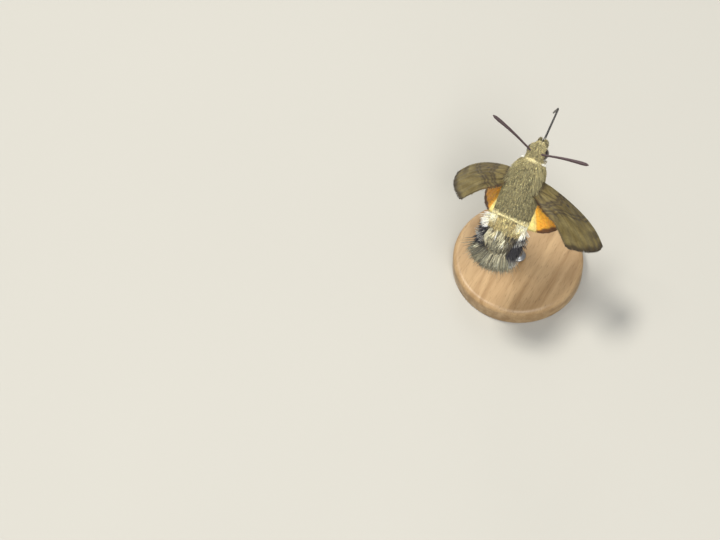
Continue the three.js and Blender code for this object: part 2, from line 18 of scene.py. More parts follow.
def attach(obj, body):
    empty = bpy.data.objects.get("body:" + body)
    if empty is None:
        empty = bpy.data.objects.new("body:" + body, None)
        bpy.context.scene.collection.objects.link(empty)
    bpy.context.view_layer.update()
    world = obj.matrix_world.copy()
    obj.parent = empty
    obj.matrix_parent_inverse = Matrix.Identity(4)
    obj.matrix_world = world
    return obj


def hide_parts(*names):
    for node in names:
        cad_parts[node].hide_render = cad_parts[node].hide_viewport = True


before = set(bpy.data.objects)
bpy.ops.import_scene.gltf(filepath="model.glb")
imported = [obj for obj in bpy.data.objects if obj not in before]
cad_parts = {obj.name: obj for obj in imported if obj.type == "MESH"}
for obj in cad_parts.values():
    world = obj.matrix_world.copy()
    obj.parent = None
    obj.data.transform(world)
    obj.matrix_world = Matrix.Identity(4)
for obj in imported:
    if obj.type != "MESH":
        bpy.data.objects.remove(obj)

LOG = logging.getLogger("hawk_moth")
MM = 0.001

Array = np.ndarray
Chance = np.random.Generator
Material = bpy.types.Material
Node = bpy.types.Node
Piece = bpy.types.Object
Tree = bpy.types.NodeTree

# Driving sizes of a mid-sized adult, in millimetres.
BODY_LENGTH = 30.0  # front of the palps to the tips of the tail fan
FOREWING_LENGTH = 0.7 * BODY_LENGTH
HINDWING_LENGTH = 0.62 * FOREWING_LENGTH
ANTENNA_LENGTH = 0.39 * BODY_LENGTH
PROBOSCIS_LENGTH = 0.83 * BODY_LENGTH

# The stance: how far the head end is raised, and how high the thorax hangs over the floor.
PITCH = math.radians(42)
HOVER_HEIGHT = 1.2 * BODY_LENGTH

# The three body sections. Places along the body are measured from the middle of the thorax.
THORAX_LENGTH = 0.345 * BODY_LENGTH
THORAX_WIDTH = 0.283 * BODY_LENGTH
THORAX_HEIGHT = 0.25 * BODY_LENGTH
HEAD_LENGTH = 0.15 * BODY_LENGTH
HEAD_WIDTH = 0.14 * BODY_LENGTH
HEAD_HEIGHT = 0.148 * BODY_LENGTH
HEAD_FRONT = THORAX_LENGTH / 2 + 0.86 * HEAD_LENGTH
ABDOMEN_LENGTH = 0.43 * BODY_LENGTH
ABDOMEN_WIDTH = 0.272 * BODY_LENGTH
ABDOMEN_HEIGHT = 0.19 * BODY_LENGTH
ABDOMEN_FRONT = -0.35 * THORAX_LENGTH
ABDOMEN_END = ABDOMEN_FRONT - ABDOMEN_LENGTH
TAIL_TIP = HEAD_FRONT + 0.02 * BODY_LENGTH - BODY_LENGTH
TAIL_LENGTH = ABDOMEN_END - TAIL_TIP
TAIL_RISE = 0.07 * BODY_LENGTH
TAIL_SWING = -0.02 * BODY_LENGTH
BELLY = -THORAX_HEIGHT / 2
EYE_SIZE = np.array([0.9, 1.05, 1.15]) * 0.3 * HEAD_WIDTH
GAP = 0.3

RIGHT, LEFT = 1, -1
SIDE_NAMES = {RIGHT: "right", LEFT: "left"}


class Tone(Enum):
    """The colours of the moth and its stand, as sRGB hex values."""

    OLIVE = "#938A62"
    HEAD_OLIVE = "#A0956A"
    HIND_BROWN = "#B5A673"
    RUFOUS = "#8A6A41"
    PALE_LINE = "#EFE0A8"
    CREAM = "#FBF1C6"
    BELLY_WHITE = "#CFC8B0"
    BELLY_BROWN = "#8B7353"
    TUFT_WHITE = "#F6F3E4"
    TUFT_BLACK = "#26242A"
    TAIL_BROWN = "#84806A"
    TAIL_DARK = "#292621"
    TAIL_PALE = "#C9C3A6"
    WING_BROWN = "#5E512C"
    WING_DARK = "#33291A"
    WING_LINE = "#33291F"
    WING_PALE = "#7F734B"
    UNDER_RUST = "#B4713A"
    ORANGE = "#FFC446"
    DEEP_ORANGE = "#FFA430"
    INNER_CREAM = "#FFEC93"
    MARGIN_BROWN = "#6B4524"
    ANTENNA_DARK = "#3C2A2C"
    ANTENNA_PALE = "#9C8676"
    EYE_DARK = "#1D1411"
    EYE_BROWN = "#4A3320"
    TONGUE_BLACK = "#15110F"
    LEG_PALE = "#A2957A"
    BEECH_LIGHT = "#AE9169"
    BEECH_DARK = "#8E7049"
    STEEL = "#A2A4A6"
    PAPER = "#ACAAA3"

    @property
    def linear(self) -> Array:
        """The colour as three linear values."""
        return to_linear(self.value)


class Face(Enum):
    """The two faces of a wing."""

    UPPER = 1
    UNDER = -1


def to_linear(hex_value: str) -> Array:
    """Turns an sRGB hex colour to linear light.

    Args:
        hex_value: The colour, such as "#8E8462".

    Returns:
        Three linear values from 0 to 1.
    """
    part = np.array([int(hex_value[i : i + 2], 16) for i in (1, 3, 5)]) / 255.0
    return np.where(part <= 0.04045, part / 12.92, ((part + 0.055) / 1.055) ** 2.4)


def ramp(value: Array, low: float, high: float) -> Array:
    """Rises smoothly from 0 at low to 1 at high: t squared times (3 - 2t)."""
    t = np.clip((value - low) / (high - low), 0, 1)
    return t * t * (3 - 2 * t)


def band(value: Array, centre: Array, half: float, soft: float) -> Array:
    """1 within half of centre, falling to 0 over the soft width on both sides."""
    return 1 - ramp(np.abs(value - centre), half, half + soft)


def mix(first: Array | Tone, second: Array | Tone, share: Array) -> Array:
    """Blends two tones, or arrays of colours, by a share for each place.

    Args:
        first: The colour where the share is 0.
        second: The colour where the share is 1.
        share: The share for each place.

    Returns:
        One colour for each place.
    """
    first, second = (part.linear if isinstance(part, Tone) else part for part in (first, second))
    share = np.asarray(share)[..., None]
    return first * (1 - share) + second * share


def painted(colour: Array, *layers: tuple) -> Array:
    """Lays tones over a colour, one after another.

    Args:
        colour: The colour underneath.
        layers: For each layer its tone and its share at each place.

    Returns:
        One colour for each place.
    """
    for tone, share in layers:
        colour = mix(colour, tone, share)
    return colour


def vary(seed: Array) -> Array:
    """A number from 0 to 1 for each seed: the fraction of a large sine wave, as in the solids."""
    wave = np.sin(np.asarray(seed, float) * 12.9898) * 43758.5453
    return wave - np.floor(wave)


def unit(vectors: Array) -> Array:
    """Scales vectors to length 1."""
    return vectors / np.maximum(np.linalg.norm(vectors, axis=-1, keepdims=True), 1e-9)


def columns(*parts: Array | float) -> Array:
    """Sets numbers and arrays side by side in a new last axis."""
    return np.stack(np.broadcast_arrays(*parts), -1)


def circle(count: int) -> Array:
    """Evenly spaced angles once round."""
    return np.arange(count) * 2 * np.pi / count


def grid(first: Array, second: Array) -> list[Array]:
    """All pairs of two lines of numbers, the first along the rows."""
    return np.meshgrid(first, second, indexing="ij")


def smooth_rows(rows: tuple, t: Array) -> Array:
    """Runs a Catmull-Rom curve through evenly spaced rows of numbers.

    Args:
        rows: The rows that the curve passes through.
        t: Places along the curve, from 0 at the first row to 1 at the last.

    Returns:
        One row for each place, in an array with the columns last.
    """
    rows = np.asarray(rows, float)
    last = len(rows) - 1
    at = np.minimum(np.asarray(t, float) * last, last - 1e-9)
    i = np.floor(at).astype(int)
    f = (at - i)[..., None]
    a, b, c, d = (rows[np.clip(i + k, 0, last)] for k in (-1, 0, 1, 2))
    cube = 3 * b - a - 3 * c + d
    return 0.5 * (2 * b + (c - a) * f + (2 * a - 5 * b + 4 * c - d) * f**2 + cube * f**3)


def into_place(points: Array) -> Array:
    """Pitches points of the moth's own frame head up about x, lifts them and makes them metres.

    Args:
        points: Points in millimetres.

    Returns:
        The points where they stand in the scene.
    """
    x, y, z = (points[..., k] for k in range(3))
    ahead = y * math.cos(PITCH) - z * math.sin(PITCH)
    up = y * math.sin(PITCH) + z * math.cos(PITCH) + HOVER_HEIGHT
    return columns(x, ahead, up) * MM


def outward(points: Array, faces: Array) -> Array:
    """Turns all faces of closed surfaces outwards, by the sign of the volume that they hold.

    Args:
        points: The corners.
        faces: Three corner numbers for each face.

    Returns:
        The faces, turned round if they pointed inwards.
    """
    a, b, c = (points[faces[:, k]] for k in range(3))
    volume = np.einsum("ij,ij->i", a, np.cross(b, c)).sum()
    return faces if volume > 0 else faces[:, ::-1].copy()


@dataclass
class Surface:
    """A mesh in the making.

    Attributes:
        points: Corners in the moth's own frame, in millimetres.
        faces: Three corner numbers for each face.
        colour: A linear colour for each corner.
        uv: A place on the flat unwrap for each corner.
    """

    points: Array
    faces: Array
    colour: Array
    uv: Array

    @staticmethod
    def joined(parts: list["Surface"]) -> "Surface":
        """Puts several surfaces into one.

        Args:
            parts: The surfaces.

        Returns:
            The whole, with its face numbers moved on.
        """
        starts = np.cumsum([0] + [len(part.points) for part in parts[:-1]])
        faces = np.concatenate([part.faces + start for part, start in zip(parts, starts)])
        points, colour, uv = (
            np.concatenate([getattr(part, name) for part in parts]) for name in ("points", "colour", "uv")
        )
        return Surface(points, faces, colour, uv)

    def build(self, name: str, material: Material, uv_name: str, placed: bool = True) -> Piece:
        """Makes the mesh object and gives it its finish.

        Args:
            name: The piece's name.
            material: Its finish.
            uv_name: The name of its UV map.
            placed: Whether the points are still in the moth's own frame.

        Returns:
            The new object, at the origin, with its place in its mesh.
        """
        world = into_place(self.points) if placed else self.points * MM
        count = len(self.faces)
        mesh = bpy.data.meshes.new(name)
        mesh.vertices.add(len(world))
        mesh.vertices.foreach_set("co", world.astype(np.float32).ravel())
        mesh.loops.add(3 * count)
        mesh.loops.foreach_set("vertex_index", self.faces.astype(np.int32).ravel())
        mesh.polygons.add(count)
        mesh.polygons.foreach_set("loop_start", np.arange(0, 3 * count, 3, dtype=np.int32))
        mesh.polygons.foreach_set("use_smooth", np.ones(count, dtype=bool))
        mesh.update(calc_edges=True)
        corner = self.uv[self.faces]
        wraps = np.ptp(corner[:, :, 0], axis=1) > 0.5
        corner[:, :, 0] += wraps[:, None] & (corner[:, :, 0] < 0.5)
        layer = mesh.uv_layers.new(name=uv_name)
        layer.data.foreach_set("uv", corner.astype(np.float32).ravel())
        tint = mesh.color_attributes.new(name="coat_colour", type="FLOAT_COLOR", domain="POINT")
        rgba = np.concatenate([np.clip(self.colour, 0, 1), np.ones((len(world), 1))], 1)
        tint.data.foreach_set("color", rgba.astype(np.float32).ravel())
        mesh.validate()
        mesh.materials.append(material)
        piece = bpy.data.objects.new(name, mesh)
        bpy.context.scene.collection.objects.link(piece)
        return piece


def wrapped(rings: Array, first: Array, last: Array, colour: Array) -> Surface:
    """Closes a skin over rings of points, with a pole at each end.

    Args:
        rings: An array of rings by points by three.
        first: The pole before the first ring.
        last: The pole after the last ring.
        colour: A colour for each point of the rings, or one for all.

    Returns:
        The closed surface. Its unwrap runs round the rings and along them.
    """
    count, sides = rings.shape[:2]
    i, k = grid(np.arange(count - 1), np.arange(sides))
    a = 1 + i * sides + k
    b = 1 + i * sides + (k + 1) % sides
    ring = np.arange(sides)
    turn = (ring + 1) % sides
    end = 1 + (count - 1) * sides
    faces = (
        columns(a, b, b + sides),
        columns(a, b + sides, a + sides),
        columns(0, 1 + turn, 1 + ring),
        columns(end + ring, end + turn, end + sides),
    )
    faces = np.concatenate([part.reshape(-1, 3) for part in faces])
    points = np.concatenate([first[None], rings.reshape(-1, 3), last[None]])
    colour = np.broadcast_to(colour, rings.shape).reshape(-1, 3)
    colour = np.concatenate([colour[:1], colour, colour[-1:]])
    uv = columns(ring / sides, ((np.arange(count) + 1) / (count + 1))[:, None]).reshape(-1, 2)
    uv = np.concatenate([[[0.0, 0.0]], uv, [[0.0, 1.0]]])
    return Surface(points, outward(points, faces), colour, uv)


def swept(path: Array, radius: Array, up: tuple, sides: int, colour: Array) -> Surface:
    """Carries a ring along a path: centre + radius (side cos(angle) + top sin(angle)).

    Each top is the last one without its part along the path, as in the solids.

    Args:
        path: The points of the path.
        radius: The radius at each point, or at each point and side.
        up: The direction that the first top starts from.
        sides: How many points go round.
        colour: A colour for all, or one for each point and side.

    Returns:
        The closed surface.
    """
    along = unit(np.concatenate([path[1:2] - path[:1], path[2:] - path[:-2], path[-1:] - path[-2:-1]]))
    top = []
    up = np.array(up, float)
    for direction in along:
        up = unit(up - direction * np.dot(up, direction))
        top.append(up)
    top = np.array(top)
    side = np.cross(along, top)
    angle = circle(sides)
    radius = radius if radius.ndim == 2 else radius[:, None]
    rings = path[:, None] + side[:, None] * (np.cos(angle) * radius)[..., None]
    rings = rings + top[:, None] * (np.sin(angle) * radius)[..., None]
    return wrapped(rings, path[0], path[-1], colour)


# The share of the way along a tuft at which each of its rings stands, and its width there.
TUFT_SHARES = np.array([0.0, 0.34, 0.7, 1.0])
TUFT_WIDTHS = np.array([0.75, 1.0, 0.7])
LONG_SHARES = np.array([0.0, 0.2, 0.42, 0.64, 0.86, 1.0])
LONG_WIDTHS = np.array([0.6, 0.9, 1.0, 1.0, 0.62])
# A tuft's patch on the unwrap, and how far its colour is darkened at the root by painted shade and brightened
# at the tip by painted light.
PATCH = 0.003
ROOT_SHADE = 0.42
TIP_SHADE = 1.2


def tufts(
    root: Array,
    along: Array,
    up: Array,
    width: Array | float,
    rise: Array | float,
    colour: Array,
    uv: Array,
    bend: Array | None = None,
    long: bool = False,
    tip_colour: Array | None = None,
    tip_from: Array | float = 0.55,
) -> Surface:
    """Lays many thin closed tufts at once, each a flat three-sided blade that ends in a point.

    The middle line of a tuft is root + along s + up rise s (2.2 - 1.4 s) + bend s squared, where s
    runs from 0 to 1. Its ring at s holds a point to the left, one to the right and one on top.

    Args:
        root: Where each tuft starts.
        along: From its root to its tip.
        up: The direction that it stands out in.
        width: Its greatest width.
        rise: How far it stands out.
        colour: Its colour.
        uv: Its root's place on the unwrap.
        bend: How far its tip is bent aside, if it is.
        long: Whether it has more rings, for a long lock.
        tip_colour: The colour of its tip, if that differs.
        tip_from: Where along the tuft the tip's colour begins.

    Returns:
        All tufts as one surface.
    """
    shares = LONG_SHARES if long else TUFT_SHARES
    widths = LONG_WIDTHS if long else TUFT_WIDTHS
    n, rings = len(root), len(widths)
    width, rise = (np.broadcast_to(part, (n,))[:, None] for part in (width, rise))
    middle = root[:, None] + along[:, None] * shares[None, :, None]
    middle = middle + up[:, None] * (rise * shares * (2.2 - 1.4 * shares))[..., None]
    if bend is not None:
        middle = middle + bend[:, None] * (shares**2)[None, :, None]
    side = unit(np.cross(along, up))[:, None] * (0.5 * width * widths)[..., None]
    crest = up[:, None] * (0.28 * width * widths)[..., None]
    body = middle[:, :rings]
    points = np.stack([body - side, body + side, body + crest], 2).reshape(n, rings * 3, 3)
    points = np.concatenate([points, middle[:, rings:]], 1).reshape(-1, 3)
    here = 3 * np.arange(rings - 1)[:, None]
    k = np.arange(3)[None]
    turn = (k + 1) % 3
    tip, start = 3 * rings, 3 * (rings - 1)
    one = (
        columns(here + k, here + turn, here + turn + 3),
        columns(here + k, here + turn + 3, here + k + 3),
        np.array([[start, start + 1, tip], [start + 1, start + 2, tip], [start + 2, start, tip], [0, 2, 1]]),
    )
    one = np.concatenate([part.reshape(-1, 3) for part in one])
    faces = (one[None] + (np.arange(n) * (tip + 1))[:, None, None]).reshape(-1, 3)
    share = np.concatenate([np.repeat(shares[:rings], 3), shares[rings:]])
    tone = np.broadcast_to(colour[:, None], (n, tip + 1, 3))
    if tip_colour is not None:
        begins = np.broadcast_to(tip_from, (n,))[:, None]
        tone = mix(tone, tip_colour[:, None], ramp(share[None] - begins, 0.0, 0.2))
    # Painted shade at each tuft's root, where it lies among the others, and painted light on its tip.
    tone = tone * (ROOT_SHADE + (TIP_SHADE - ROOT_SHADE) * share)[None, :, None]
    across = np.concatenate([np.tile([-0.47 * PATCH, 0.47 * PATCH, 0.0], rings), [0.0]])
    places = np.clip(uv, 0.002, 0.998)[:, None] + columns(across, PATCH * (share - 0.5))[None]
    return Surface(points, outward(points, faces), tone.reshape(-1, 3), places.reshape(-1, 2))


def scattered(rng: Chance, n: int, left: float, wide: float, low: float, tall: float) -> Array:
    """Random places in a rectangle of the unwrap, given by its left and low edges and its sizes."""
    return columns(left + wide * rng.random(n), low + tall * rng.random(n))


def jitter(colour: Array | Tone, rng: Chance, spread: float = 0.3, pale: float = 0.09, n: int = 1) -> Array:
    """Gives each tuft its own tone: a random brightness, and now and then a paler one.

    Args:
        colour: The marking's colour at each tuft, or one tone for all.
        rng: The source of chance.
        spread: How far the brightness varies.
        pale: The share of tufts that are much paler.
        n: How many tufts there are, where one tone is given.

    Returns:
        The colour of each tuft.
    """
    colour = np.broadcast_to(colour.linear, (n, 3)) if isinstance(colour, Tone) else colour
    n = len(colour)
    level = np.exp(rng.normal(0, spread, n))[:, None]
    warm = 1 + rng.normal(0, 0.05, (n, 1)) * np.array([1.0, 0.2, -1.0])
    bright = (rng.random(n) < pale)[:, None]
    return colour * level * warm * np.where(bright, 1.45, 1.0)


def body_middle(y: Array) -> Array:
    """The middle line of the body: bent up and to the left with the square of the way back."""
    y = np.asarray(y, float)
    bend = (np.maximum(0, -THORAX_LENGTH / 2 - y) / (-THORAX_LENGTH / 2 - TAIL_TIP)) ** 2
    return columns(TAIL_SWING * bend, y, TAIL_RISE * bend)


def soft_most(values: list[Array], soft: float) -> Array:
    """A smooth greatest value: soft times the logarithm of the sum of exp(value / soft)."""
    stack = np.stack(values) / soft
    top = stack.max(0)
    return (top + np.log(np.exp(stack - top).sum(0))) * soft


@dataclass(frozen=True)
class Section:
    """One section of the body.

    Attributes:
        front: Where it starts.
        back: Where it ends.
        width: Its greatest width.
        height: Its greatest height.
        rows: The place as a share of its length, the half width, and the height over and under
            the middle line, as shares.
        nod: How far its front end is let down.
    """

    front: float
    back: float
    width: float
    height: float
    rows: tuple
    nod: float = 0.0

    def extents(self, y: Array) -> tuple[Array, Array, Array]:
        """How far the section reaches to the side, up and down at places along the body.

        Args:
            y: The places.

        Returns:
            The half width, the top and the bottom. Outside the section they are far inside.
        """
        table = smooth_rows(self.rows, np.linspace(0, 1, 400))
        share = (y - self.front) / (self.back - self.front)
        wide, over, under = (np.interp(share, table[:, 0], table[:, k]) for k in (1, 2, 3))
        middle = body_middle(y)[..., 2] - self.nod * (1 - np.clip(share, 0, 1)) ** 2
        off = np.where((share < 0) | (share > 1), 20.0, 0.0)
        half = self.height / 2
        return wide * self.width / 2 - off, middle + over * half - off, middle - under * half + off


THORAX = Section(
    THORAX_LENGTH / 2,
    -THORAX_LENGTH / 2,
    THORAX_WIDTH,
    THORAX_HEIGHT,
    (
        (0, 0, 0, 0),
        (0.01, 0.34, 0.34, 0.32),
        (0.04, 0.54, 0.58, 0.54),
        (0.12, 0.72, 0.8, 0.76),
        (0.24, 0.85, 0.94, 0.92),
        (0.4, 0.94, 1, 1),
        (0.56, 0.99, 0.99, 1),
        (0.74, 1, 0.93, 0.95),
        (0.88, 0.95, 0.84, 0.86),
        (0.95, 0.8, 0.68, 0.7),
        (0.99, 0.46, 0.4, 0.4),
        (1, 0, 0, 0),
    ),
)
HEAD = Section(
    HEAD_FRONT,
    HEAD_FRONT - 1.25 * HEAD_LENGTH,
    HEAD_WIDTH,
    HEAD_HEIGHT,
    (
        (0, 0, 0, 0),
        (0.02, 0.3, 0.26, 0.34),
        (0.1, 0.6, 0.52, 0.66),
        (0.25, 0.88, 0.8, 0.92),
        (0.42, 1, 0.98, 1),
        (0.6, 0.98, 1, 0.94),
        (0.8, 0.94, 0.96, 0.86),
        (0.97, 0.7, 0.7, 0.6),
        (1, 0, 0, 0),
    ),
    0.16 * HEAD_HEIGHT,
)
ABDOMEN = Section(
    ABDOMEN_FRONT,
    ABDOMEN_END,
    ABDOMEN_WIDTH,
    ABDOMEN_HEIGHT,
    (
        (0, 0, 0, 0),
        (0.02, 0.7, 0.76, 0.76),
        (0.1, 0.94, 1.06, 1.04),
        (0.25, 1.02, 1.08, 1.04),
        (0.45, 1.03, 1.02, 1),
        (0.62, 1, 0.92, 0.9),
        (0.78, 0.9, 0.76, 0.74),
        (0.9, 0.7, 0.52, 0.5),
        (0.98, 0.38, 0.26, 0.26),
        (1, 0, 0, 0),
    ),
)
TAIL_CORE = Section(
    ABDOMEN_END + 0.6 * TAIL_LENGTH,
    ABDOMEN_END - 0.4 * TAIL_LENGTH,
    0.62 * ABDOMEN_WIDTH,
    0.3 * ABDOMEN_HEIGHT,
    (
        (0, 0, 0, 0),
        (0.04, 0.5, 0.8, 0.8),
        (0.4, 0.8, 1, 1),
        (0.8, 1, 0.8, 0.8),
        (0.96, 0.7, 0.4, 0.4),
        (1, 0, 0, 0),
    ),
)


@dataclass(frozen=True)
class BodyForm:
    """The one smooth skin of head, thorax, abdomen and tail core.

    Attributes:
        sections: The sections that it blends.
        soft: How far neighbours blend.
        depth: How deep the coat is over the skin.
        thin: The least half width and half height.
        waist: Between these places the skin lies no deeper than a straight line, so that thorax
            and abdomen run into one spindle.
    """

    sections: tuple = (HEAD, THORAX, ABDOMEN, TAIL_CORE)
    soft: float = 0.22
    depth: float = 0.3
    thin: float = 0.02
    waist: tuple = (-2.2, -7.6)

    def extents(self, y: Array) -> tuple[Array, Array, Array]:
        """The reach of the blended sections at places along the body.

        Args:
            y: The places.

        Returns:
            The half width, and the height over and under the middle line.
        """
        wide, top, bottom = zip(*(part.extents(y) for part in self.sections))
        middle = body_middle(y)[..., 2]
        low = soft_most([-value for value in bottom], self.soft)
        return soft_most(wide, self.soft), soft_most(top, self.soft) - middle, middle + low

    def filled(self, y: Array) -> list[Array]:
        """The extents with the waist filled up to the line between its two ends.

        Args:
            y: The places.

        Returns:
            The half width, and the height over and under the middle line.
        """
        ends = self.extents(np.array(self.waist))
        share = np.clip((y - self.waist[0]) / (self.waist[1] - self.waist[0]), 0, 1)
        inside = (share > 0) & (share < 1)
        return [
            np.where(inside, np.maximum(here, end[0] + (end[1] - end[0]) * share), here)
            for here, end in zip(self.extents(y), ends)
        ]

    def point(self, y: Array, angle: Array) -> Array:
        """A point of the skin: the middle line, out by the half width and up or down by the height.

        Args:
            y: The place along the body.
            angle: The turn about the body, from the moth's right over its back.

        Returns:
            The points.
        """
        wide, over, under = self.filled(y)
        half = np.maximum(wide - self.depth, self.thin)
        middle = body_middle(y)
        high = middle[..., 2] + over - self.depth
        low = middle[..., 2] - under + self.depth
        mid = np.minimum(np.maximum(middle[..., 2], low + self.thin), high - self.thin)
        rise = np.sin(angle)
        tall = np.maximum(np.where(rise > 0, high - mid, mid - low), self.thin)
        return columns(middle[..., 0] + np.cos(angle) * half, y, mid + rise * tall)

    def frame(self, y: Array, angle: Array) -> tuple[Array, Array, Array]:
        """The skin's own directions, from differences over a small step along and round it.

        Args:
            y: The place along the body.
            angle: The turn about the body.

        Returns:
            The point, the direction back towards the tail, and the direction outwards.
        """
        back = self.point(y - 0.05, angle) - self.point(y + 0.05, angle)
        round_it = self.point(y, angle + 0.02) - self.point(y, angle - 0.02)
        return self.point(y, angle), unit(back), unit(np.cross(round_it, back))


BODY = BodyForm()


@dataclass(frozen=True)
class Markings:
    """Where the moth's colours lie. Skin and coat both read them.

    Attributes:
        collar: The pale line behind the head.
        hind_line: The pale line across the abdomen.
        cream_patch: The cream patches at the sides behind that line.
        tail_dark: Where the sides turn black and the back turns to the tail's brown.
    """

    collar: float = 0.52 * THORAX_LENGTH
    hind_line: float = -0.24 * BODY_LENGTH
    cream_patch: float = -0.29 * BODY_LENGTH
    tail_dark: float = -10.4

    def body(self, y: Array, angle: Array) -> Array:
        """The colour of the body.

        Args:
            y: The place along the body.
            angle: The turn about the body, from the moth's right over its back.

        Returns:
            A linear colour for each place.
        """
        up = np.sin(angle)
        side = np.abs(np.cos(angle))
        ripple = 0.16 * np.sin(7 * angle) + 0.1 * np.sin(17 * angle + 2)
        streak = 0.5 + 0.5 * np.sin(9 * angle + 0.8 * np.sin(1.3 * y))
        level = (0.9 + 0.16 * streak) * (1 - 0.12 * ramp(-y, 0.0, 4.0))
        hind = ramp(-y - ripple, -self.hind_line, -self.hind_line + 0.8)
        dark_side = ramp(-y - ripple, -self.tail_dark, 1 - self.tail_dark) * ramp(side, 0.4, 0.75)
        tail = ramp(-y - 2 * ripple, -self.tail_dark, 1.2 - self.tail_dark) * (1 - dark_side)
        line = self.hind_line - 0.1 * side
        cream = band(y + ripple, self.cream_patch, 0.75, 0.5) * ramp(side, 0.45, 0.7) * ramp(up, -0.3, 0.0)
        colour = painted(
            mix(Tone.HEAD_OLIVE, Tone.OLIVE, ramp(-y, -6.0, -2.0)) * level[..., None],
            (Tone.HIND_BROWN, hind),
            (Tone.RUFOUS, 0.22 * hind * band(side, 0.62, 0.1, 0.3)),
            (Tone.TUFT_BLACK, 0.9 * dark_side),
            (Tone.TAIL_BROWN, tail),
        )
        colour = painted(
            colour * (1 - 0.3 * band(y + 0.5 * ripple, line + 0.5, 0.15, 0.2))[..., None],
            (Tone.PALE_LINE, 0.6 * band(y + 0.5 * ripple, line, 0.14, 0.14)),
            (Tone.PALE_LINE, 0.4 * band(y + 0.4 * ripple, self.collar + 0.25 * (1 - side), 0.1, 0.16)),
            (Tone.CREAM, cream),
        )
        under = painted(
            mix(Tone.BELLY_WHITE, Tone.BELLY_BROWN, ramp(-y, 3.5, 6.0)),
            (Tone.BELLY_WHITE, band(y, self.cream_patch, 0.8, 0.5) * band(side, 0.8, 0.12, 0.15)),
            (Tone.TAIL_DARK, ramp(-y, 12.5, 15.5)),
        )
        return mix(colour, under, ramp(-up, 0.1, 0.55))

    def side_tuft(self, place: Array, side: int) -> tuple[Array, Array, Array]:
        """The colours of the side tufts: a pale one, then black ones, some tipped with white.

        Args:
            place: The number of each tuft's place, from the front.
            side: RIGHT or LEFT, as they are ruffled differently.

        Returns:
            The colour at the root, the colour of the tip, and where along the tuft that begins.
        """
        plain = (Tone.TUFT_BLACK, Tone.TUFT_BLACK, 0.5)
        tipped = (Tone.TUFT_BLACK, Tone.TUFT_WHITE, 0.8)
        last = tipped if side == RIGHT else (Tone.TAIL_DARK, Tone.TAIL_PALE, 0.6)
        middle = (tipped, plain) if side == RIGHT else (plain, tipped)
        rows = ((Tone.CREAM, Tone.TUFT_WHITE, 0.3 if side == RIGHT else 0.4), *middle, plain, last)
        roots, tips = (np.array([row[k].linear for row in rows]) for k in (0, 1))
        return roots[place], tips[place], np.array([row[2] for row in rows])[place]

    def forewing(self, s: Array, at: Array, face: Face) -> Array:
        """The forewing: brown, two dark wavy lines and a spot above, rust and brown below.

        Args:
            s: The share of the way from the root to the outer margin.
            at: The share of the way from the leading edge to the trailing edge.
            face: Which face.

        Returns:
            A linear colour for each place.
        """
        cloud = 0.5 + 0.3 * np.sin(23 * s + 5 * at + 2 * np.sin(9 * at)) + 0.2 * np.sin(31 * at - 9 * s + 1.4)
        if face is Face.UNDER:
            colour = mix(Tone.UNDER_RUST, Tone.WING_BROWN, ramp(s, 0.45, 0.75))
            return mix(colour, Tone.WING_DARK, ramp(s, 0.86, 0.98)) * (0.9 + 0.2 * cloud)[..., None]
        wave = 0.012 * np.sin(16 * at) + 0.008 * np.sin(37 * at + 1)
        blotch = ramp(np.sin(17 * s + 3 * np.sin(11 * at)) * np.sin(13 * at + 4 * s), 0.1, 0.7)
        inner = 0.27 + 0.05 * np.sin(2.6 * at) + wave
        outer = 0.56 - 0.1 * at + 0.05 * np.sin(5 * at + 0.6) + wave
        lines = ((inner, 0.008), (inner + 0.045, 0.005), (outer, 0.008), (outer + 0.05, 0.005))
        spot = np.hypot((s - 0.42) * 2.2, at - 0.3)
        streaks = band(s, 0.82 + wave, 0.03, 0.03) * (1 - ramp(at, 0.2, 0.6))
        return painted(
            mix(Tone.WING_BROWN, Tone.WING_PALE, 0.6 * cloud),
            (Tone.WING_DARK, 0.55 * blotch * (1 - 0.6 * ramp(s, 0.5, 0.8))),
            (Tone.WING_DARK, 0.7 * (1 - ramp(s + wave, 0.08, 0.16))),
            (Tone.WING_DARK, 0.35 * ramp(s, 0.26, 0.3) * (1 - ramp(s - outer, -0.02, 0.0))),
            *((Tone.WING_LINE, 0.7 * band(s, line, width, 0.018)) for line, width in lines),
            (Tone.WING_LINE, 1 - ramp(spot, 0.035, 0.06)),
            (Tone.WING_DARK, 0.6 * streaks),
            (Tone.WING_DARK, 0.85 * ramp(s + wave, 0.9, 0.97)),
        )

    def hindwing(self, s: Array, at: Array, face: Face) -> Array:
        """The hindwing: orange, dark at the root, brown at the margin, cream along the inner edge.

        Args:
            s: The share of the way from the root to the outer margin.
            at: The share of the way from the leading edge to the trailing edge.
            face: Which face.

        Returns:
            A linear colour for each place.
        """
        wave = 0.015 * np.sin(13 * at) + 0.01 * np.sin(29 * at + 1)
        grain = 0.5 + 0.5 * np.sin(60 * at + 2 * np.sin(9 * s))
        colour = mix(Tone.ORANGE, Tone.DEEP_ORANGE, 0.3 * grain + 0.35 * ramp(s, 0.5, 0.85))
        root = Tone.WING_DARK
        if face is Face.UNDER:
            colour = mix(Tone.INNER_CREAM, colour, ramp(s, 0.1, 0.45))
            root = Tone.INNER_CREAM
        inner = ramp(at + wave, 0.77, 0.84)
        margin = ramp(s + wave - 0.03 * ramp(at, 0.4, 0.9), 0.87, 0.94)
        return painted(
            colour,
            (root, 0.8 * (1 - ramp(s + wave, 0.06, 0.16))),
            (Tone.INNER_CREAM, 0.6 * (1 - ramp(at, 0.04, 0.12))),
            (Tone.INNER_CREAM, inner),
            (Tone.MARGIN_BROWN, margin * (1 - 0.8 * inner)),
        )


MARKINGS = Markings()


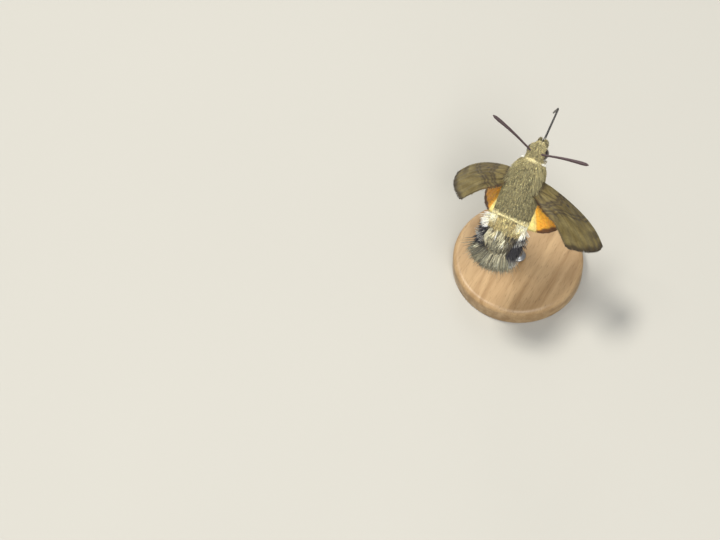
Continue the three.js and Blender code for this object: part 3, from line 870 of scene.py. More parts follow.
def add_node(tree: Tree, kind: str, settings: dict, links: dict | None = None) -> Node:
    """Adds a shader node with its settings and links.

    Args:
        tree: The material's node tree.
        kind: The node's type, without its prefix.
        settings: Its properties by name, and its inputs by name or number.
        links: For each linked input, the node and the output that feed it.

    Returns:
        The node.
    """
    node = tree.nodes.new("ShaderNode" + kind)
    for key, value in settings.items():
        if isinstance(key, str) and hasattr(node, key):
            setattr(node, key, value)
        else:
            node.inputs[key].default_value = value
    for key, (source, output) in (links or {}).items():
        tree.links.new(source.outputs[output], node.inputs[key])
    return node


def rgba(colour: Array) -> tuple:
    """A linear colour with full alpha."""
    return (*(float(value) for value in colour), 1.0)


@dataclass(frozen=True)
class Finish:
    """What every finish shares: a shader, fed by the nodes that each kind lays out.

    Attributes:
        name: The finish's name.
    """

    name: str

    def shading(self, tree: Tree) -> tuple[dict, dict]:
        """Lays out the finish's own nodes.
        place = add_node(tree, "TexCoord", {})

        Args:
            tree: The node tree.

        Returns:
            The shader's settings and its links.
        """
        raise NotImplementedError

    def build(self) -> Material:
        """Makes the material."""
        material = bpy.data.materials.new(self.name)
        material.use_nodes = True
        tree = material.node_tree
        tree.nodes.clear()
        settings, links = self.shading(tree)
        shader = add_node(tree, "BsdfPrincipled", settings, links)
        add_node(tree, "OutputMaterial", {}, {"Surface": (shader, "BSDF")})
        return material

    @staticmethod
    def marked(tree: Tree, level: Node, height: tuple, bump: dict) -> dict:
        """Brings in the markings' colour, lightened and darkened by a level, and a bump.

        Args:
            tree: The node tree.
            level: The node whose result the colour is multiplied by.
            height: The node and the output that the bump is raised by.
            bump: The bump's settings.

        Returns:
            The shader's links.
        """
        tint = add_node(tree, "Attribute", {"attribute_name": "coat_colour"})
        links = {0: (tint, "Color"), "Scale": (level, "Result")}
        colour = add_node(tree, "VectorMath", {"operation": "SCALE"}, links)
        raised = add_node(tree, "Bump", bump, {"Height": height})
        return {"Base Color": (colour, "Vector"), "Normal": (raised, "Normal")}


@dataclass(frozen=True)
class ScaleCoat(Finish):
    """Hair and scales of chitin, matt and a little silky.

    Its colour comes from the markings. A fine mottle, drawn a few hairs wide so that it shows,
    breaks it up, and a bump of the same size gives the soft, combed look of lying hair.

    Attributes:
        roughness: How matt it is.
        sheen: How silky it is.
        grain_mm: The size of the mottle.
        depth_mm: The height of the bump.
        contrast: How strong the mottle is.
    """

    roughness: float = 0.78
    sheen: float = 0.12
    grain_mm: float = 0.25
    depth_mm: float = 0.04
    contrast: float = 0.35

    def shading(self, tree: Tree) -> tuple[dict, dict]:
        """A mottle of brightness, raised by its own height.

        Args:
            tree: The node tree.

        Returns:
            The shader's settings and its links.
        """
        place = add_node(tree, "TexCoord", {})
        scale = {"Scale": 1 / (self.grain_mm * MM), "Detail": 4.0, "Roughness": 0.6}
        grain = add_node(tree, "TexNoise", scale, {"Vector": (place, "Object")})
        spread = {"From Min": 0.3, "From Max": 0.7, "To Min": 1 - self.contrast, "To Max": 1 + self.contrast}
        level = add_node(tree, "MapRange", spread, {"Value": (grain, 0)})
        bump = {"Strength": 0.8, "Distance": self.depth_mm * MM}
        gloss = {"IOR": 1.55, "Specular IOR Level": 0.3}
        settings = {"Roughness": self.roughness, "Sheen Weight": self.sheen, **gloss}
        return settings, self.marked(tree, level, (level, "Result"), bump)


@dataclass(frozen=True)
class ScaledWing(Finish):
    """Wing membrane of chitin under rows of flat scales, matt with a faint satin.

    The rows run across the wing. Real ones are 0.1 mm apart; these are twice as wide, to show.

    Attributes:
        length_mm: The wing's length, which the plan's map is a share of.
        row_mm: How far apart the rows of scales are.
    """

    length_mm: float
    row_mm: float = 0.2

    def shading(self, tree: Tree) -> tuple[dict, dict]:
        """Cells of scales, each with its own brightness.

        Args:
            tree: The node tree.

        Returns:
            The shader's settings and its links.
        """
        cells = self.length_mm / self.row_mm
        plan = add_node(tree, "UVMap", {"uv_map": "wing_plan"})
        along = add_node(tree, "Mapping", {"Scale": (cells, 2.4 * cells, 1.0)}, {"Vector": (plan, "UV")})
        cut = {"Scale": 1.0, "Randomness": 0.75}
        scales = add_node(tree, "TexVoronoi", cut, {"Vector": (along, "Vector")})
        level = add_node(tree, "MapRange", {"To Min": 0.78, "To Max": 1.22}, {"Value": (scales, "Color")})
        bump = {"Strength": 0.5, "Distance": 0.02 * MM}
        settings = {"Roughness": 0.6, "Sheen Weight": 0.03, "IOR": 1.55, "Specular IOR Level": 0.26}
        return settings, self.marked(tree, level, (scales, "Distance"), bump)


@dataclass(frozen=True)
class CompoundEye(Finish):
    """A compound eye: thousands of hard clear lenses over dark pigment, glossy with a soft mottle.

    Real lenses are 0.02 mm across; these are three times as wide, so that they catch the light.

    Attributes:
        lens_mm: The width of a lens.
    """

    lens_mm: float = 0.06

    def shading(self, tree: Tree) -> tuple[dict, dict]:
        """Small round cells, darker at their edges and raised in the middle.

        Args:
            tree: The node tree.

        Returns:
            The shader's settings and its links.
        """
        place = add_node(tree, "TexCoord", {})
        cut = {"Scale": 1 / (self.lens_mm * MM), "Randomness": 0.25}
        lenses = add_node(tree, "TexVoronoi", cut, {"Vector": (place, "Object")})
        spread = {"From Max": 0.6, "To Min": 1.25, "To Max": 0.7}
        level = add_node(tree, "MapRange", spread, {"Value": (lenses, "Distance")})
        bump = {"Strength": 0.25, "Distance": 0.01 * MM, "invert": True}
        settings = {"Roughness": 0.16, "Coat Weight": 0.6, "Coat Roughness": 0.08, "IOR": 1.5}
        return settings, self.marked(tree, level, (lenses, "Distance"), bump)


@dataclass(frozen=True)
class BareChitin(Finish):
    """Bare hard chitin, smooth and half glossy, with fine rings and a slight change of tone.

    Attributes:
        roughness: How matt it is.
        grain_mm: The size of the change of tone.
        rings: How many fine rings its unwrap shows from end to end.
    """

    roughness: float = 0.38
    grain_mm: float = 0.3
    rings: int = 60

    def shading(self, tree: Tree) -> tuple[dict, dict]:
        """A cloud of tone and gloss, and rings that follow the unwrap.

        Args:
            tree: The node tree.

        Returns:
            The shader's settings and its links.
        """
        place = add_node(tree, "TexCoord", {})
        scale = {"Scale": 1 / (self.grain_mm * MM), "Detail": 3.0}
        grain = add_node(tree, "TexNoise", scale, {"Vector": (place, "Object")})
        spread = {"From Min": 0.3, "From Max": 0.7, "To Min": 0.8, "To Max": 1.25}
        level = add_node(tree, "MapRange", spread, {"Value": (grain, 0)})
        spread = {**spread, "To Min": self.roughness - 0.08, "To Max": self.roughness + 0.12}
        rough = add_node(tree, "MapRange", spread, {"Value": (grain, 0)})
        rings = {"bands_direction": "Y", "Scale": self.rings * 2 * math.pi / 20}
        waves = add_node(tree, "TexWave", rings, {"Vector": (place, "UV")})
        links = self.marked(tree, level, (waves, 1), {"Strength": 0.4, "Distance": 0.02 * MM})
        return {"IOR": 1.56}, {**links, "Roughness": (rough, "Result")}


@dataclass(frozen=True)
class TurnedBeech(Finish):
    """Turned beech, sanded and waxed: pale, with straight grain and short dark flecks.

    Attributes:
        grain_mm: The width of a growth ring.
        fleck_mm: The length of a fleck.
    """

    grain_mm: float = 2.2
    fleck_mm: float = 0.9

    def shading(self, tree: Tree) -> tuple[dict, dict]:
        """Growth rings drawn out along the grain, with flecks over them.

        Args:
            tree: The node tree.

        Returns:
            The shader's settings and its links.
        """
        place = add_node(tree, "TexCoord", {})
        turned = {"Rotation": (0.0, 0.0, math.radians(35)), "Scale": (1.0, 0.12, 1.0)}
        turned = add_node(tree, "Mapping", turned, {"Vector": (place, "Object")})
        ring = {"Scale": 1 / (self.grain_mm * MM), "Detail": 5.0, "Roughness": 0.55, "Distortion": 0.4}
        rings = add_node(tree, "TexNoise", ring, {"Vector": (turned, "Vector")})
        fleck = {"Scale": 4 / (self.fleck_mm * MM), "Detail": 2.0}
        fleck = add_node(tree, "TexNoise", fleck, {"Vector": (turned, "Vector")})
        spots = {"From Min": 0.58, "From Max": 0.7, "To Min": 0.0, "To Max": 0.55}
        spots = add_node(tree, "MapRange", spots, {"Value": (fleck, 0)})
        grain = add_node(tree, "MapRange", {"From Min": 0.35, "From Max": 0.65}, {"Value": (rings, 0)})
        tones = {6: rgba(Tone.BEECH_LIGHT.linear), 7: rgba(Tone.BEECH_DARK.linear)}
        wood = add_node(tree, "Mix", {"data_type": "RGBA", **tones}, {0: (grain, "Result")})
        dark = {"data_type": "RGBA", 7: rgba(Tone.BEECH_DARK.linear * 0.6)}
        flecked = add_node(tree, "Mix", dark, {0: (spots, "Result"), 6: (wood, 2)})
        bump = add_node(tree, "Bump", {"Strength": 0.3, "Distance": 0.05 * MM}, {"Height": (rings, 0)})
        rough = add_node(tree, "MapRange", {"To Min": 0.42, "To Max": 0.6}, {"Value": (grain, "Result")})
        links = {"Base Color": (flecked, 2), "Roughness": (rough, "Result"), "Normal": (bump, "Normal")}
        return {"Coat Weight": 0.15, "Coat Roughness": 0.35, "IOR": 1.5}, links


@dataclass(frozen=True)
class GroundSteel(Finish):
    """Stainless steel rod, ground lengthways: bright, with fine streaks and softened gloss.

    Attributes:
        streak_mm: The width of a grinding streak, wider than real so that it shows.
    """

    streak_mm: float = 0.15

    def shading(self, tree: Tree) -> tuple[dict, dict]:
        """Streaks that change both tone and gloss.

        Args:
            tree: The node tree.

        Returns:
            The shader's settings and its links.
        """
        place = add_node(tree, "TexCoord", {})
        long = add_node(tree, "Mapping", {"Scale": (1.0, 1.0, 0.03)}, {"Vector": (place, "Object")})
        streak = {"Scale": 1 / (self.streak_mm * MM), "Detail": 3.0}
        streaks = add_node(tree, "TexNoise", streak, {"Vector": (long, "Vector")})
        spread = {"From Min": 0.3, "From Max": 0.7, "To Min": 0.34, "To Max": 0.5}
        rough = add_node(tree, "MapRange", spread, {"Value": (streaks, 0)})
        tones = {6: rgba(Tone.STEEL.linear * 0.82), 7: rgba(Tone.STEEL.linear)}
        tone = add_node(tree, "Mix", {"data_type": "RGBA", **tones}, {0: (streaks, 0)})
        return {"Metallic": 1.0}, {"Base Color": (tone, 2), "Roughness": (rough, "Result")}


@dataclass(frozen=True)
class PalePaper(Finish):
    """The floor: matt pale paper with the faintest change of tone."""

    def shading(self, tree: Tree) -> tuple[dict, dict]:
        """A wide cloud between two near tones.

        Args:
            tree: The node tree.

        Returns:
            The shader's settings and its links.
        """
        place = add_node(tree, "TexCoord", {})
        cloud = add_node(tree, "TexNoise", {"Scale": 12.0, "Detail": 2.0}, {"Vector": (place, "Object")})
        tones = {6: rgba(Tone.PAPER.linear * 0.96), 7: rgba(Tone.PAPER.linear)}
        tone = add_node(tree, "Mix", {"data_type": "RGBA", **tones}, {0: (cloud, 0)})
        return {"Roughness": 0.9, "Specular IOR Level": 0.2}, {"Base Color": (tone, 2)}


@dataclass(frozen=True)
class Studio:
    """The camera, the floor and the soft light.

    Attributes:
        azimuth: The camera's turn about the moth, in degrees.
        elevation: Its height over the horizon, in degrees.
        distance: How far it stands off, in millimetres.
        mm_per_pixel: The photograph's scale at the moth.
        picture: The picture's width and height in pixels.
        thorax_pixel: Where the middle of the thorax lies in the picture.
        floor: How far the floor reaches to each side.
        cells: How many squares it has along each side.
    """

    azimuth: float = 28.0
    elevation: float = 60.0
    distance: float = 600.0
    mm_per_pixel: float = 0.211
    picture: tuple = (720, 540)
    thorax_pixel: tuple = (525.6, 181.3)
    floor: float = 3000.0
    cells: int = 8

    def build(self) -> None:
        """Makes all of it."""
        self._camera()
        self._floor()
        self._lights()

    def _camera(self) -> None:
        """Stands the camera so that the thorax lands on its pixel, with no shift."""
        a, e = math.radians(self.azimuth), math.radians(self.elevation)
        right = Vector((math.cos(a), math.sin(a), 0))
        up = Vector((-math.sin(e) * math.sin(a), math.sin(e) * math.cos(a), math.cos(e)))
        back = Vector((math.sin(a) * math.cos(e), -math.cos(a) * math.cos(e), math.sin(e)))
        across = (self.thorax_pixel[0] - self.picture[0] / 2) * self.mm_per_pixel
        above = (self.picture[1] / 2 - self.thorax_pixel[1]) * self.mm_per_pixel
        place = Vector((0, 0, HOVER_HEIGHT)) - right * across - up * above + back * self.distance
        data = bpy.data.cameras.new("camera")
        data.sensor_width = 36.0
        data.lens = data.sensor_width * self.distance / (self.picture[0] * self.mm_per_pixel)
        data.clip_start = 0.01
        data.clip_end = 20.0
        camera = bpy.data.objects.new("camera", data)
        turn = Matrix((right, up, back)).transposed().to_4x4()
        camera.matrix_world = Matrix.Translation(place * MM) @ turn
        bpy.context.scene.collection.objects.link(camera)
        bpy.context.scene.camera = camera

    def _floor(self) -> None:
        """Lays the floor: a grid point for each pair of x and y, all at height 0."""
        line = np.linspace(-self.floor, self.floor, self.cells + 1)
        x, y = grid(line, line)
        points = columns(x, y, 0.0).reshape(-1, 3)
        i, k = grid(np.arange(self.cells), np.arange(self.cells))
        row = self.cells + 1
        a = i * row + k
        faces = np.concatenate([columns(a, a + row, a + row + 1), columns(a, a + row + 1, a + 1)])
        uv = points[:, :2] / self.floor * 0.2 + 0.25
        sheet = Surface(points, faces.reshape(-1, 3), np.ones_like(points), uv)
        sheet.build("floor", PalePaper("pale_paper").build(), "paper", placed=False)

    def _lights(self) -> None:
        """Hangs a key light over the left side, a fill near the camera and a light ahead."""
        aim = Vector((0, 0, 0.03))
        for name, place, size, power, tone in (
            ("key", (-0.3, -0.02, 0.78), 0.2, 6.6, (1.0, 0.97, 0.9)),
            ("fill", (0.35, -0.42, 0.72), 0.35, 6.0, (1.0, 0.98, 0.95)),
            ("rim", (-0.4, 0.7, 0.35), 0.4, 2.0, (1.0, 0.98, 0.95)),
        ):
            data = bpy.data.lights.new(name, "AREA")
            data.shape = "DISK"
            data.size = size
            data.energy = power
            data.color = tone
            light = bpy.data.objects.new(name, data)
            light.location = place
            light.rotation_euler = (aim - Vector(place)).to_track_quat("-Z", "Y").to_euler()
            bpy.context.scene.collection.objects.link(light)
        world = bpy.data.worlds.new("studio_air")
        world.use_nodes = True
        air = world.node_tree.nodes["Background"]
        air.inputs["Color"].default_value = (0.9, 0.94, 1.0, 1.0)
        air.inputs["Strength"].default_value = 0.42
        bpy.context.scene.world = world
        bpy.context.scene.view_settings.view_transform = "Standard"


def dress(piece: Piece, nodes: tuple = ()) -> None:
    """Fixes a piece to the moth, hides the solids that it stands for and logs how many faces it has.

    Args:
        piece: The new piece.
        nodes: The solids that it replaces.
    """
    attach(piece, "root")
    if nodes:
        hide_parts(*nodes)
    LOG.info("%s: %d faces", piece.name, len(piece.data.polygons))


def palp_path(side: int, t: Array) -> Array:
    """The middle line and the radius of a palp: up in front of the face.

    Args:
        side: RIGHT or LEFT.
        t: Places along it, from 0 to 1.

    Returns:
        Rows of x, y, z and radius.
    """
    x = 0.15 * HEAD_WIDTH + GAP / 2
    rows = (
        (side * x, HEAD_FRONT - 0.56 * HEAD_LENGTH, -0.6 * HEAD_HEIGHT, 0.3),
        (side * x, HEAD_FRONT - 0.24 * HEAD_LENGTH, -0.58 * HEAD_HEIGHT, 0.56),
        (side * 0.9 * x, HEAD_FRONT - 0.01 * HEAD_LENGTH, -0.42 * HEAD_HEIGHT, 0.52),
        (side * 0.6 * x, HEAD_FRONT + 0.15 * HEAD_LENGTH, -0.2 * HEAD_HEIGHT, 0.14),
    )
    return smooth_rows(rows, t)


@dataclass(frozen=True)
class Skin:
    """The one skin under the coat, from the face to the core of the tail fan, with the palps.

    Attributes:
        rings: How many rings go along the body.
        sides: How many points go round it.
        fold: The depth of the folds between the abdomen's segments.
        segment: The length of a segment.
        palp_rings: How many rings go along a palp, and points round it.
    """

    rings: int = 190
    sides: int = 100
    fold: float = 0.05
    segment: float = 0.125 * ABDOMEN_LENGTH
    palp_rings: int = 20

    def build(self, finish: Material) -> None:
        """Builds the skin and lets it stand for the solids of flesh."""
        front = HEAD_FRONT - BODY.depth
        back = TAIL_CORE.back + BODY.depth
        v = (np.arange(self.rings) + 0.5) / self.rings
        y, angle = grid(front + (back - front) * (1 - np.cos(np.pi * v)) / 2, circle(self.sides))
        rings = BODY.point(y, angle)
        crease = self.fold * np.cos(2 * np.pi * (y - ABDOMEN_FRONT) / self.segment) ** 8
        crease = crease * ramp(-y, 6.0, 7.0) * (1 - ramp(-y, 13.0, 15.0))
        rings = rings - unit(rings - body_middle(y)) * crease[..., None]
        pole = np.array([0, BODY.thin, 0])
        ends = rings[0].mean(0) + pole, rings[-1].mean(0) - pole
        # The skin takes the body's markings at 0.8 of their brightness: painted shade under the coat.
        body = wrapped(rings, *ends, MARKINGS.body(y, angle) * 0.8)
        whole = Surface.joined([body, self._palp(RIGHT), self._palp(LEFT)])
        nodes = ("head", "thorax", "abdomen", "tail_fan", "palp_right", "palp_left")
        dress(whole.build("body_skin", finish, "OFBake"), nodes)

    def _palp(self, side: int) -> Surface:
        """The skin of one palp, a little inside its solid."""
        n = self.palp_rings
        row = palp_path(side, np.linspace(0, 1, n))
        colour = mix(Tone.BELLY_WHITE, Tone.HEAD_OLIVE, np.linspace(0, 1, n))
        colour = np.broadcast_to(colour[:, None], (n, n, 3))
        return swept(row[:, :3], np.maximum(row[:, 3] - 0.12, 0.05), (0, 0, 1), n, colour)


def eye_centre(side: int) -> Array:
    """The middle of an eye."""
    return np.array([side * 0.32 * HEAD_WIDTH, HEAD_FRONT - 0.5 * HEAD_LENGTH, -0.1 * HEAD_HEIGHT])


def inside_eyes(points: Array, grow: float) -> Array:
    """Which points lie inside an eye, or within grow of it."""
    offsets = [(points - eye_centre(side)) / (EYE_SIZE + grow) for side in (RIGHT, LEFT)]
    return np.any([(offset**2).sum(-1) < 1 for offset in offsets], axis=0)


@dataclass(frozen=True)
class Coat:
    """One stretch of the body's coat.

    Attributes:
        name: The piece's name.
        front: Where it starts along the body.
        back: Where it ends.
        count: How many tufts it has.
        length: How long they are.
        width: How wide they are.
        rise: How far they stand out.
        seed: The start of its chance.
        low: The lowest turn about the body that it covers.
        high: The highest.
        across: How many clumps lie side by side in one radian.
        rows: How many lie behind each other in one millimetre.
        shaggy: Whether it is long and loose, with dark and pale clumps.
    """

    name: str
    front: float
    back: float
    count: int
    length: float
    width: float
    rise: float
    seed: int
    low: float = 0.0
    high: float = 2 * math.pi
    across: int = 24
    rows: float = 1.3
    shaggy: bool = False

    def surface(self) -> Surface:
        """Scatters the tufts evenly and lays each back along the body.

        Roots are drawn in clumps: the skin is cut into small cells, and the tufts of a cell share
        a tone and lean together, as damp or combed hair does.

        Returns:
            The coat as one surface.
        """
        rng = np.random.default_rng(self.seed)
        y = self.front + (self.back - self.front) * rng.random(self.count)
        angle = self.low + (self.high - self.low) * rng.random(self.count)
        root, back, out = BODY.frame(y, angle)
        keep = ~inside_eyes(root, 0.05)
        y, angle, root, back, out = (part[keep] for part in (y, angle, root, back, out))
        n = len(y)
        column = np.floor(angle * self.across)
        row = np.floor(y * self.rows + 3 * vary(column))
        clump = vary(column + 57 * row)
        lean = (vary(column + 57 * row + 19) - 0.5) * 0.5 + rng.normal(0, 0.13, n)
        side = np.cross(out, back)
        along = back * np.cos(lean)[:, None] + side * np.sin(lean)[:, None]
        long = self.length * (0.75 + 0.5 * rng.random(n))
        rise = self.rise * (0.6 + 0.8 * rng.random(n)) * (0.7 + 0.6 * clump)
        colour = MARKINGS.body(y + 0.2 * rng.normal(0, 0.6, n), angle)
        if self.shaggy:
            dark, pale = (Tone.TAIL_DARK, 0.8 * (clump < 0.4)), (Tone.TAIL_PALE, 0.7 * (clump > 0.8))
            colour = painted(colour, dark, pale)
        colour = jitter(colour, rng) * (0.6 + 0.76 * clump)[:, None]
        u = (angle - self.low) / (self.high - self.low)
        v = (self.front - y) / (self.front - self.back)
        uv = 0.01 + 0.98 * columns(u, v)
        width = self.width * (0.7 + 0.6 * rng.random(n))
        bend = side * (long * rng.normal(0, 0.12, n))[:, None] if self.shaggy else None
        root = root - 0.03 * out
        return tufts(root, along * long[:, None], out, width, rise, colour, uv, bend, self.shaggy)

    def build(self, finish: Material, extra: tuple = ()) -> None:
        """Builds the coat as one piece.

        Args:
            finish: Its finish.
            extra: More surfaces to join into it.
        """
        whole = Surface.joined([self.surface(), *extra])
        dress(whole.build(self.name, finish, "OFBake"))


@dataclass(frozen=True)
class Eyes:
    """The two compound eyes: tall ellipsoids let into the sides of the head.

    Attributes:
        rings: How many rings each has.
        sides: How many points go round.
    """

    rings: int = 40
    sides: int = 64

    def build(self) -> None:
        """Builds both eyes. Point: centre + size times the point of a ball."""
        finish = CompoundEye("compound_eye_lenses").build()
        v, u = grid((np.arange(self.rings) + 0.5) / self.rings * np.pi, circle(self.sides))
        ball = columns(np.sin(v) * np.cos(u), np.sin(v) * np.sin(u), np.cos(v))
        spots = 0.5 + 0.5 * np.sin(6 * u + 3 * np.sin(4 * v))
        bands = band(ball[..., 2], 0.1 + 0.1 * ball[..., 1], 0.1, 0.25)
        colour = mix(Tone.EYE_DARK, Tone.EYE_BROWN, 0.7 * bands + 0.15 * spots)
        tall = EYE_SIZE * np.array([0, 0, 1.0])
        for side in (RIGHT, LEFT):
            middle = eye_centre(side)
            eye = wrapped(middle + EYE_SIZE * ball, middle + tall, middle - tall, colour)
            name = "eye_" + SIDE_NAMES[side]
            dress(eye.build(name + "_lenses", finish, "eye_map"), (name,))


@dataclass(frozen=True)
class HeadTrim:
    """What frames the face: the fur of the palps, the rims of the eyes and the brow.

    Attributes:
        palp_tufts: How many tufts each palp has.
        rim_tufts: How many tufts stand round each eye.
        brow_tufts: How many tufts hang over each eye.
        nape_tufts: How many tufts hang over the neck.
        frons_tufts: How many tufts cover the face.
        cheek_tufts: How many tufts the white spot behind each eye has.
        socket_tufts: How many tufts stand beside each eye, on the face.
    """

    palp_tufts: int = 800
    rim_tufts: int = 300
    brow_tufts: int = 450
    nape_tufts: int = 1300
    frons_tufts: int = 1300
    cheek_tufts: int = 170
    socket_tufts: int = 520

    def surfaces(self) -> tuple:
        """All of it, for both sides."""
        kinds = (self._palp, self._rim, self._brow, self._cheek, self._socket)
        return (*(kind(side) for side in (RIGHT, LEFT) for kind in kinds), self._nape(), self._frons())

    def _nape(self) -> Surface:
        """Longer hair from the back of the head, laid back over the front of the thorax."""
        rng = np.random.default_rng(151)
        n = self.nape_tufts
        y = HEAD_FRONT - HEAD_LENGTH * rng.uniform(0.72, 1.0, n)
        angle = rng.uniform(-0.3, math.pi + 0.3, n)
        root, _, out = BODY.frame(y, angle)
        along = unit(np.array([0.0, -1.0, 0.0]) + 0.42 * out) * (0.9 + 0.5 * rng.random(n))[:, None]
        colour = jitter(MARKINGS.body(y, angle), rng)
        tips = mix(colour, Tone.PALE_LINE, np.full(n, 0.45))
        uv = scattered(rng, n, 0.55, 0.2, 0.02, 0.3)
        return tufts(root, along, out, 0.11, 0.1, colour, uv, tip_colour=tips)

    def _frons(self) -> Surface:
        """The hair of the face, from the brow forward and down over the foot of the tongue."""
        rng = np.random.default_rng(161)
        n = self.frons_tufts
        y = HEAD_FRONT - 0.31 - HEAD_LENGTH * 0.36 * rng.random(n) ** 1.6
        angle = rng.uniform(-0.9, math.pi + 0.9, n)
        root, _, out = BODY.frame(y, angle)
        snout = np.array([0.0, HEAD_FRONT + 0.12 * HEAD_LENGTH, -0.62 * HEAD_HEIGHT])
        along = unit(unit(snout - root) + 0.35 * out) * (0.5 + 0.35 * rng.random(n))[:, None]
        colour = jitter(MARKINGS.body(y, np.clip(angle, 0.0, math.pi)), rng)
        return tufts(root, along, out, 0.09, 0.08, colour, scattered(rng, n, 0.78, 0.2, 0.02, 0.3))

    def _palp(self, side: int) -> Surface:
        """The fur of a palp: tufts on its skin that lie towards its tip."""
        rng = np.random.default_rng(31 + side)
        n = self.palp_tufts
        t = rng.random(n) * 0.93
        turn = rng.random(n) * 2 * np.pi
        here, ahead = palp_path(side, t), palp_path(side, t + 0.02)
        along = unit(ahead[:, :3] - here[:, :3])
        out_x = unit(np.cross(along, np.array([0.0, 0.0, 1.0])))
        out = out_x * np.cos(turn)[:, None] + np.cross(out_x, along) * np.sin(turn)[:, None]
        root = here[:, :3] + out * np.maximum(here[:, 3:] - 0.14, 0.04)
        white = mix(Tone.BELLY_WHITE, Tone.HEAD_OLIVE, ramp(out[:, 2] + 0.6 * (t - 0.5), 0.0, 0.5))
        length = (0.34 + 0.22 * rng.random(n))[:, None]
        uv = columns(0.02 + 0.1 * turn / 7, 0.02 + 0.4 * t)
        rise = 0.09 + 0.1 * rng.random(n)
        return tufts(root, along * length, out, 0.07, rise, jitter(white, rng), uv)

    def _rim(self, side: int) -> Surface:
        """Short pale scales round the eye, below and behind it, that lie away from it."""
        rng = np.random.default_rng(61 + side)
        n = self.rim_tufts
        turn = rng.uniform(0.8 * np.pi, 2.0 * np.pi, n)
        spread = 1.22 + 0.1 * rng.random(n)
        aside = np.array([side * 1.0, 0.0, 0.0])
        away = columns(0.0, np.cos(turn), np.sin(turn))
        ball = aside * np.cos(spread)[:, None] + away * np.sin(spread)[:, None]
        along = unit(away * 0.5 + np.array([0.0, -0.8, 0.0])) * (0.3 + 0.2 * rng.random(n))[:, None]
        colour = jitter(Tone.TUFT_WHITE, rng, 0.12, n=n)
        uv = columns(0.15 + 0.1 * turn / 7, 0.02 + 0.3 * rng.random(n))
        root = eye_centre(side) + EYE_SIZE * ball
        return tufts(root, along, unit(away * 0.5 + aside), 0.07, 0.06, colour, uv)

    def _socket(self, side: int) -> Surface:
        """Hair of the face beside the eye: its roots are behind the eye's edge, its tips on it."""
        rng = np.random.default_rng(191 + side)
        n = self.socket_tufts
        turn = rng.uniform(-0.75 * np.pi, 0.35 * np.pi, n)
        spread = rng.uniform(1.5, 2.1, n)[:, None]
        aside = np.array([side * 1.0, 0.0, 0.0])
        away = columns(0.0, np.cos(turn), np.sin(turn))
        ball = aside * np.cos(spread) + away * np.sin(spread)
        over = aside * np.sin(spread) - away * np.cos(spread)
        along = unit(over + 0.15 * unit(ball)) * (0.36 + 0.2 * rng.random(n))[:, None]
        tone = mix(Tone.BELLY_WHITE, Tone.HEAD_OLIVE, ramp(np.sin(turn), -0.3, 0.5))
        uv = scattered(rng, n, 0.3, 0.1, 0.6, 0.1)
        root = eye_centre(side) + EYE_SIZE * ball
        return tufts(root, along, unit(ball), 0.09, 0.07, jitter(tone, rng, 0.2), uv)

    def _cheek(self, side: int) -> Surface:
        """The white spot behind the eye."""
        rng = np.random.default_rng(171 + side)
        n = self.cheek_tufts
        y = HEAD_FRONT - HEAD_LENGTH * rng.uniform(0.8, 0.96, n)
        turn = np.radians(rng.uniform(-8, 30, n))
        root, back, out = BODY.frame(y, turn if side == RIGHT else math.pi - turn)
        along = unit(back + 0.45 * out) * (0.6 + 0.3 * rng.random(n))[:, None]
        colour = jitter(Tone.TUFT_WHITE, rng, 0.15, 0.0, n)
        return tufts(root, along, out, 0.1, 0.28, colour, scattered(rng, n, 0.05, 0.1, 0.6, 0.1))

    def _brow(self, side: int) -> Surface:
        """Longer hair over the eye, from the crown out and back over its upper edge."""
        rng = np.random.default_rng(91 + side)
        n = self.brow_tufts
        y = HEAD_FRONT - HEAD_LENGTH * rng.uniform(0.2, 0.95, n)
        angle = math.radians(90) - side * np.radians(rng.uniform(30, 62, n))
        root, back, out = BODY.frame(y, angle)
        along = unit(back * 0.75 + np.array([side * 0.62, 0.0, 0.0])) * (0.55 + 0.3 * rng.random(n))[:, None]
        colour = jitter(MARKINGS.body(y, angle), rng)
        return tufts(root, along, out, 0.09, 0.14, colour, scattered(rng, n, 0.3, 0.2, 0.02, 0.3))


def line_tufts(place: float, behind: float, turn: float, count: int, seed: int) -> Surface:
    """A thin pale line across the back: short hair that stands a little over the rest of the coat.

    Args:
        place: Where it crosses the middle of the back.
        behind: How far its ends lie behind its middle.
        turn: How far it reaches down each side, in degrees from the top.
        count: How many tufts it has.
        seed: The start of its chance.

    Returns:
        The tufts.
    """
    rng = np.random.default_rng(seed)
    angle = math.pi / 2 + np.radians(turn) * rng.uniform(-1, 1, count)
    y = place - behind * np.cos(angle) ** 2 + rng.normal(0, 0.07, count)
    root, back, out = BODY.frame(y, angle)
    along = back * (0.42 + 0.2 * rng.random(count))[:, None]
    rise = 0.34 + 0.12 * rng.random(count)
    colour = jitter(Tone.PALE_LINE, rng, 0.22, 0.0, count)
    uv = columns(0.02 + 0.9 * angle / math.pi, 0.5 + 0.4 * y / BODY_LENGTH)
    return tufts(root, along, out, 0.09, rise, colour, uv)


def tegula_tufts(side: int, count: int = 420) -> Surface:
    """The long shoulder hair over a wing's root, pale at its tips.

    Args:
        side: RIGHT or LEFT.
        count: How many tufts it has.

    Returns:
        The tufts.
    """
    rng = np.random.default_rng(131 + side)
    share = rng.random(count)
    y = 4.3 - 3.9 * share
    turn = np.radians(32 + 26 * rng.random(count))
    angle = turn if side == RIGHT else np.pi - turn
    root, back, out = BODY.frame(y, angle)
    length = (1.6 + 1.0 * rng.random(count))[:, None]
    along = unit(back + np.array([side * 1.0, 0.0, -0.3]) * (0.24 + 0.12 * share)[:, None]) * length
    colour = jitter(MARKINGS.body(y, angle), rng, 0.18, 0.05)
    tips = mix(colour, Tone.PALE_LINE, np.full(count, 0.55))
    uv = columns(0.02 + 0.5 * rng.random(count), 0.02 + 0.4 * share)
    rise = 0.22 + 0.16 * rng.random(count)
    return tufts(root, along, out, 0.13, rise, colour, uv, tip_colour=tips, tip_from=0.7)


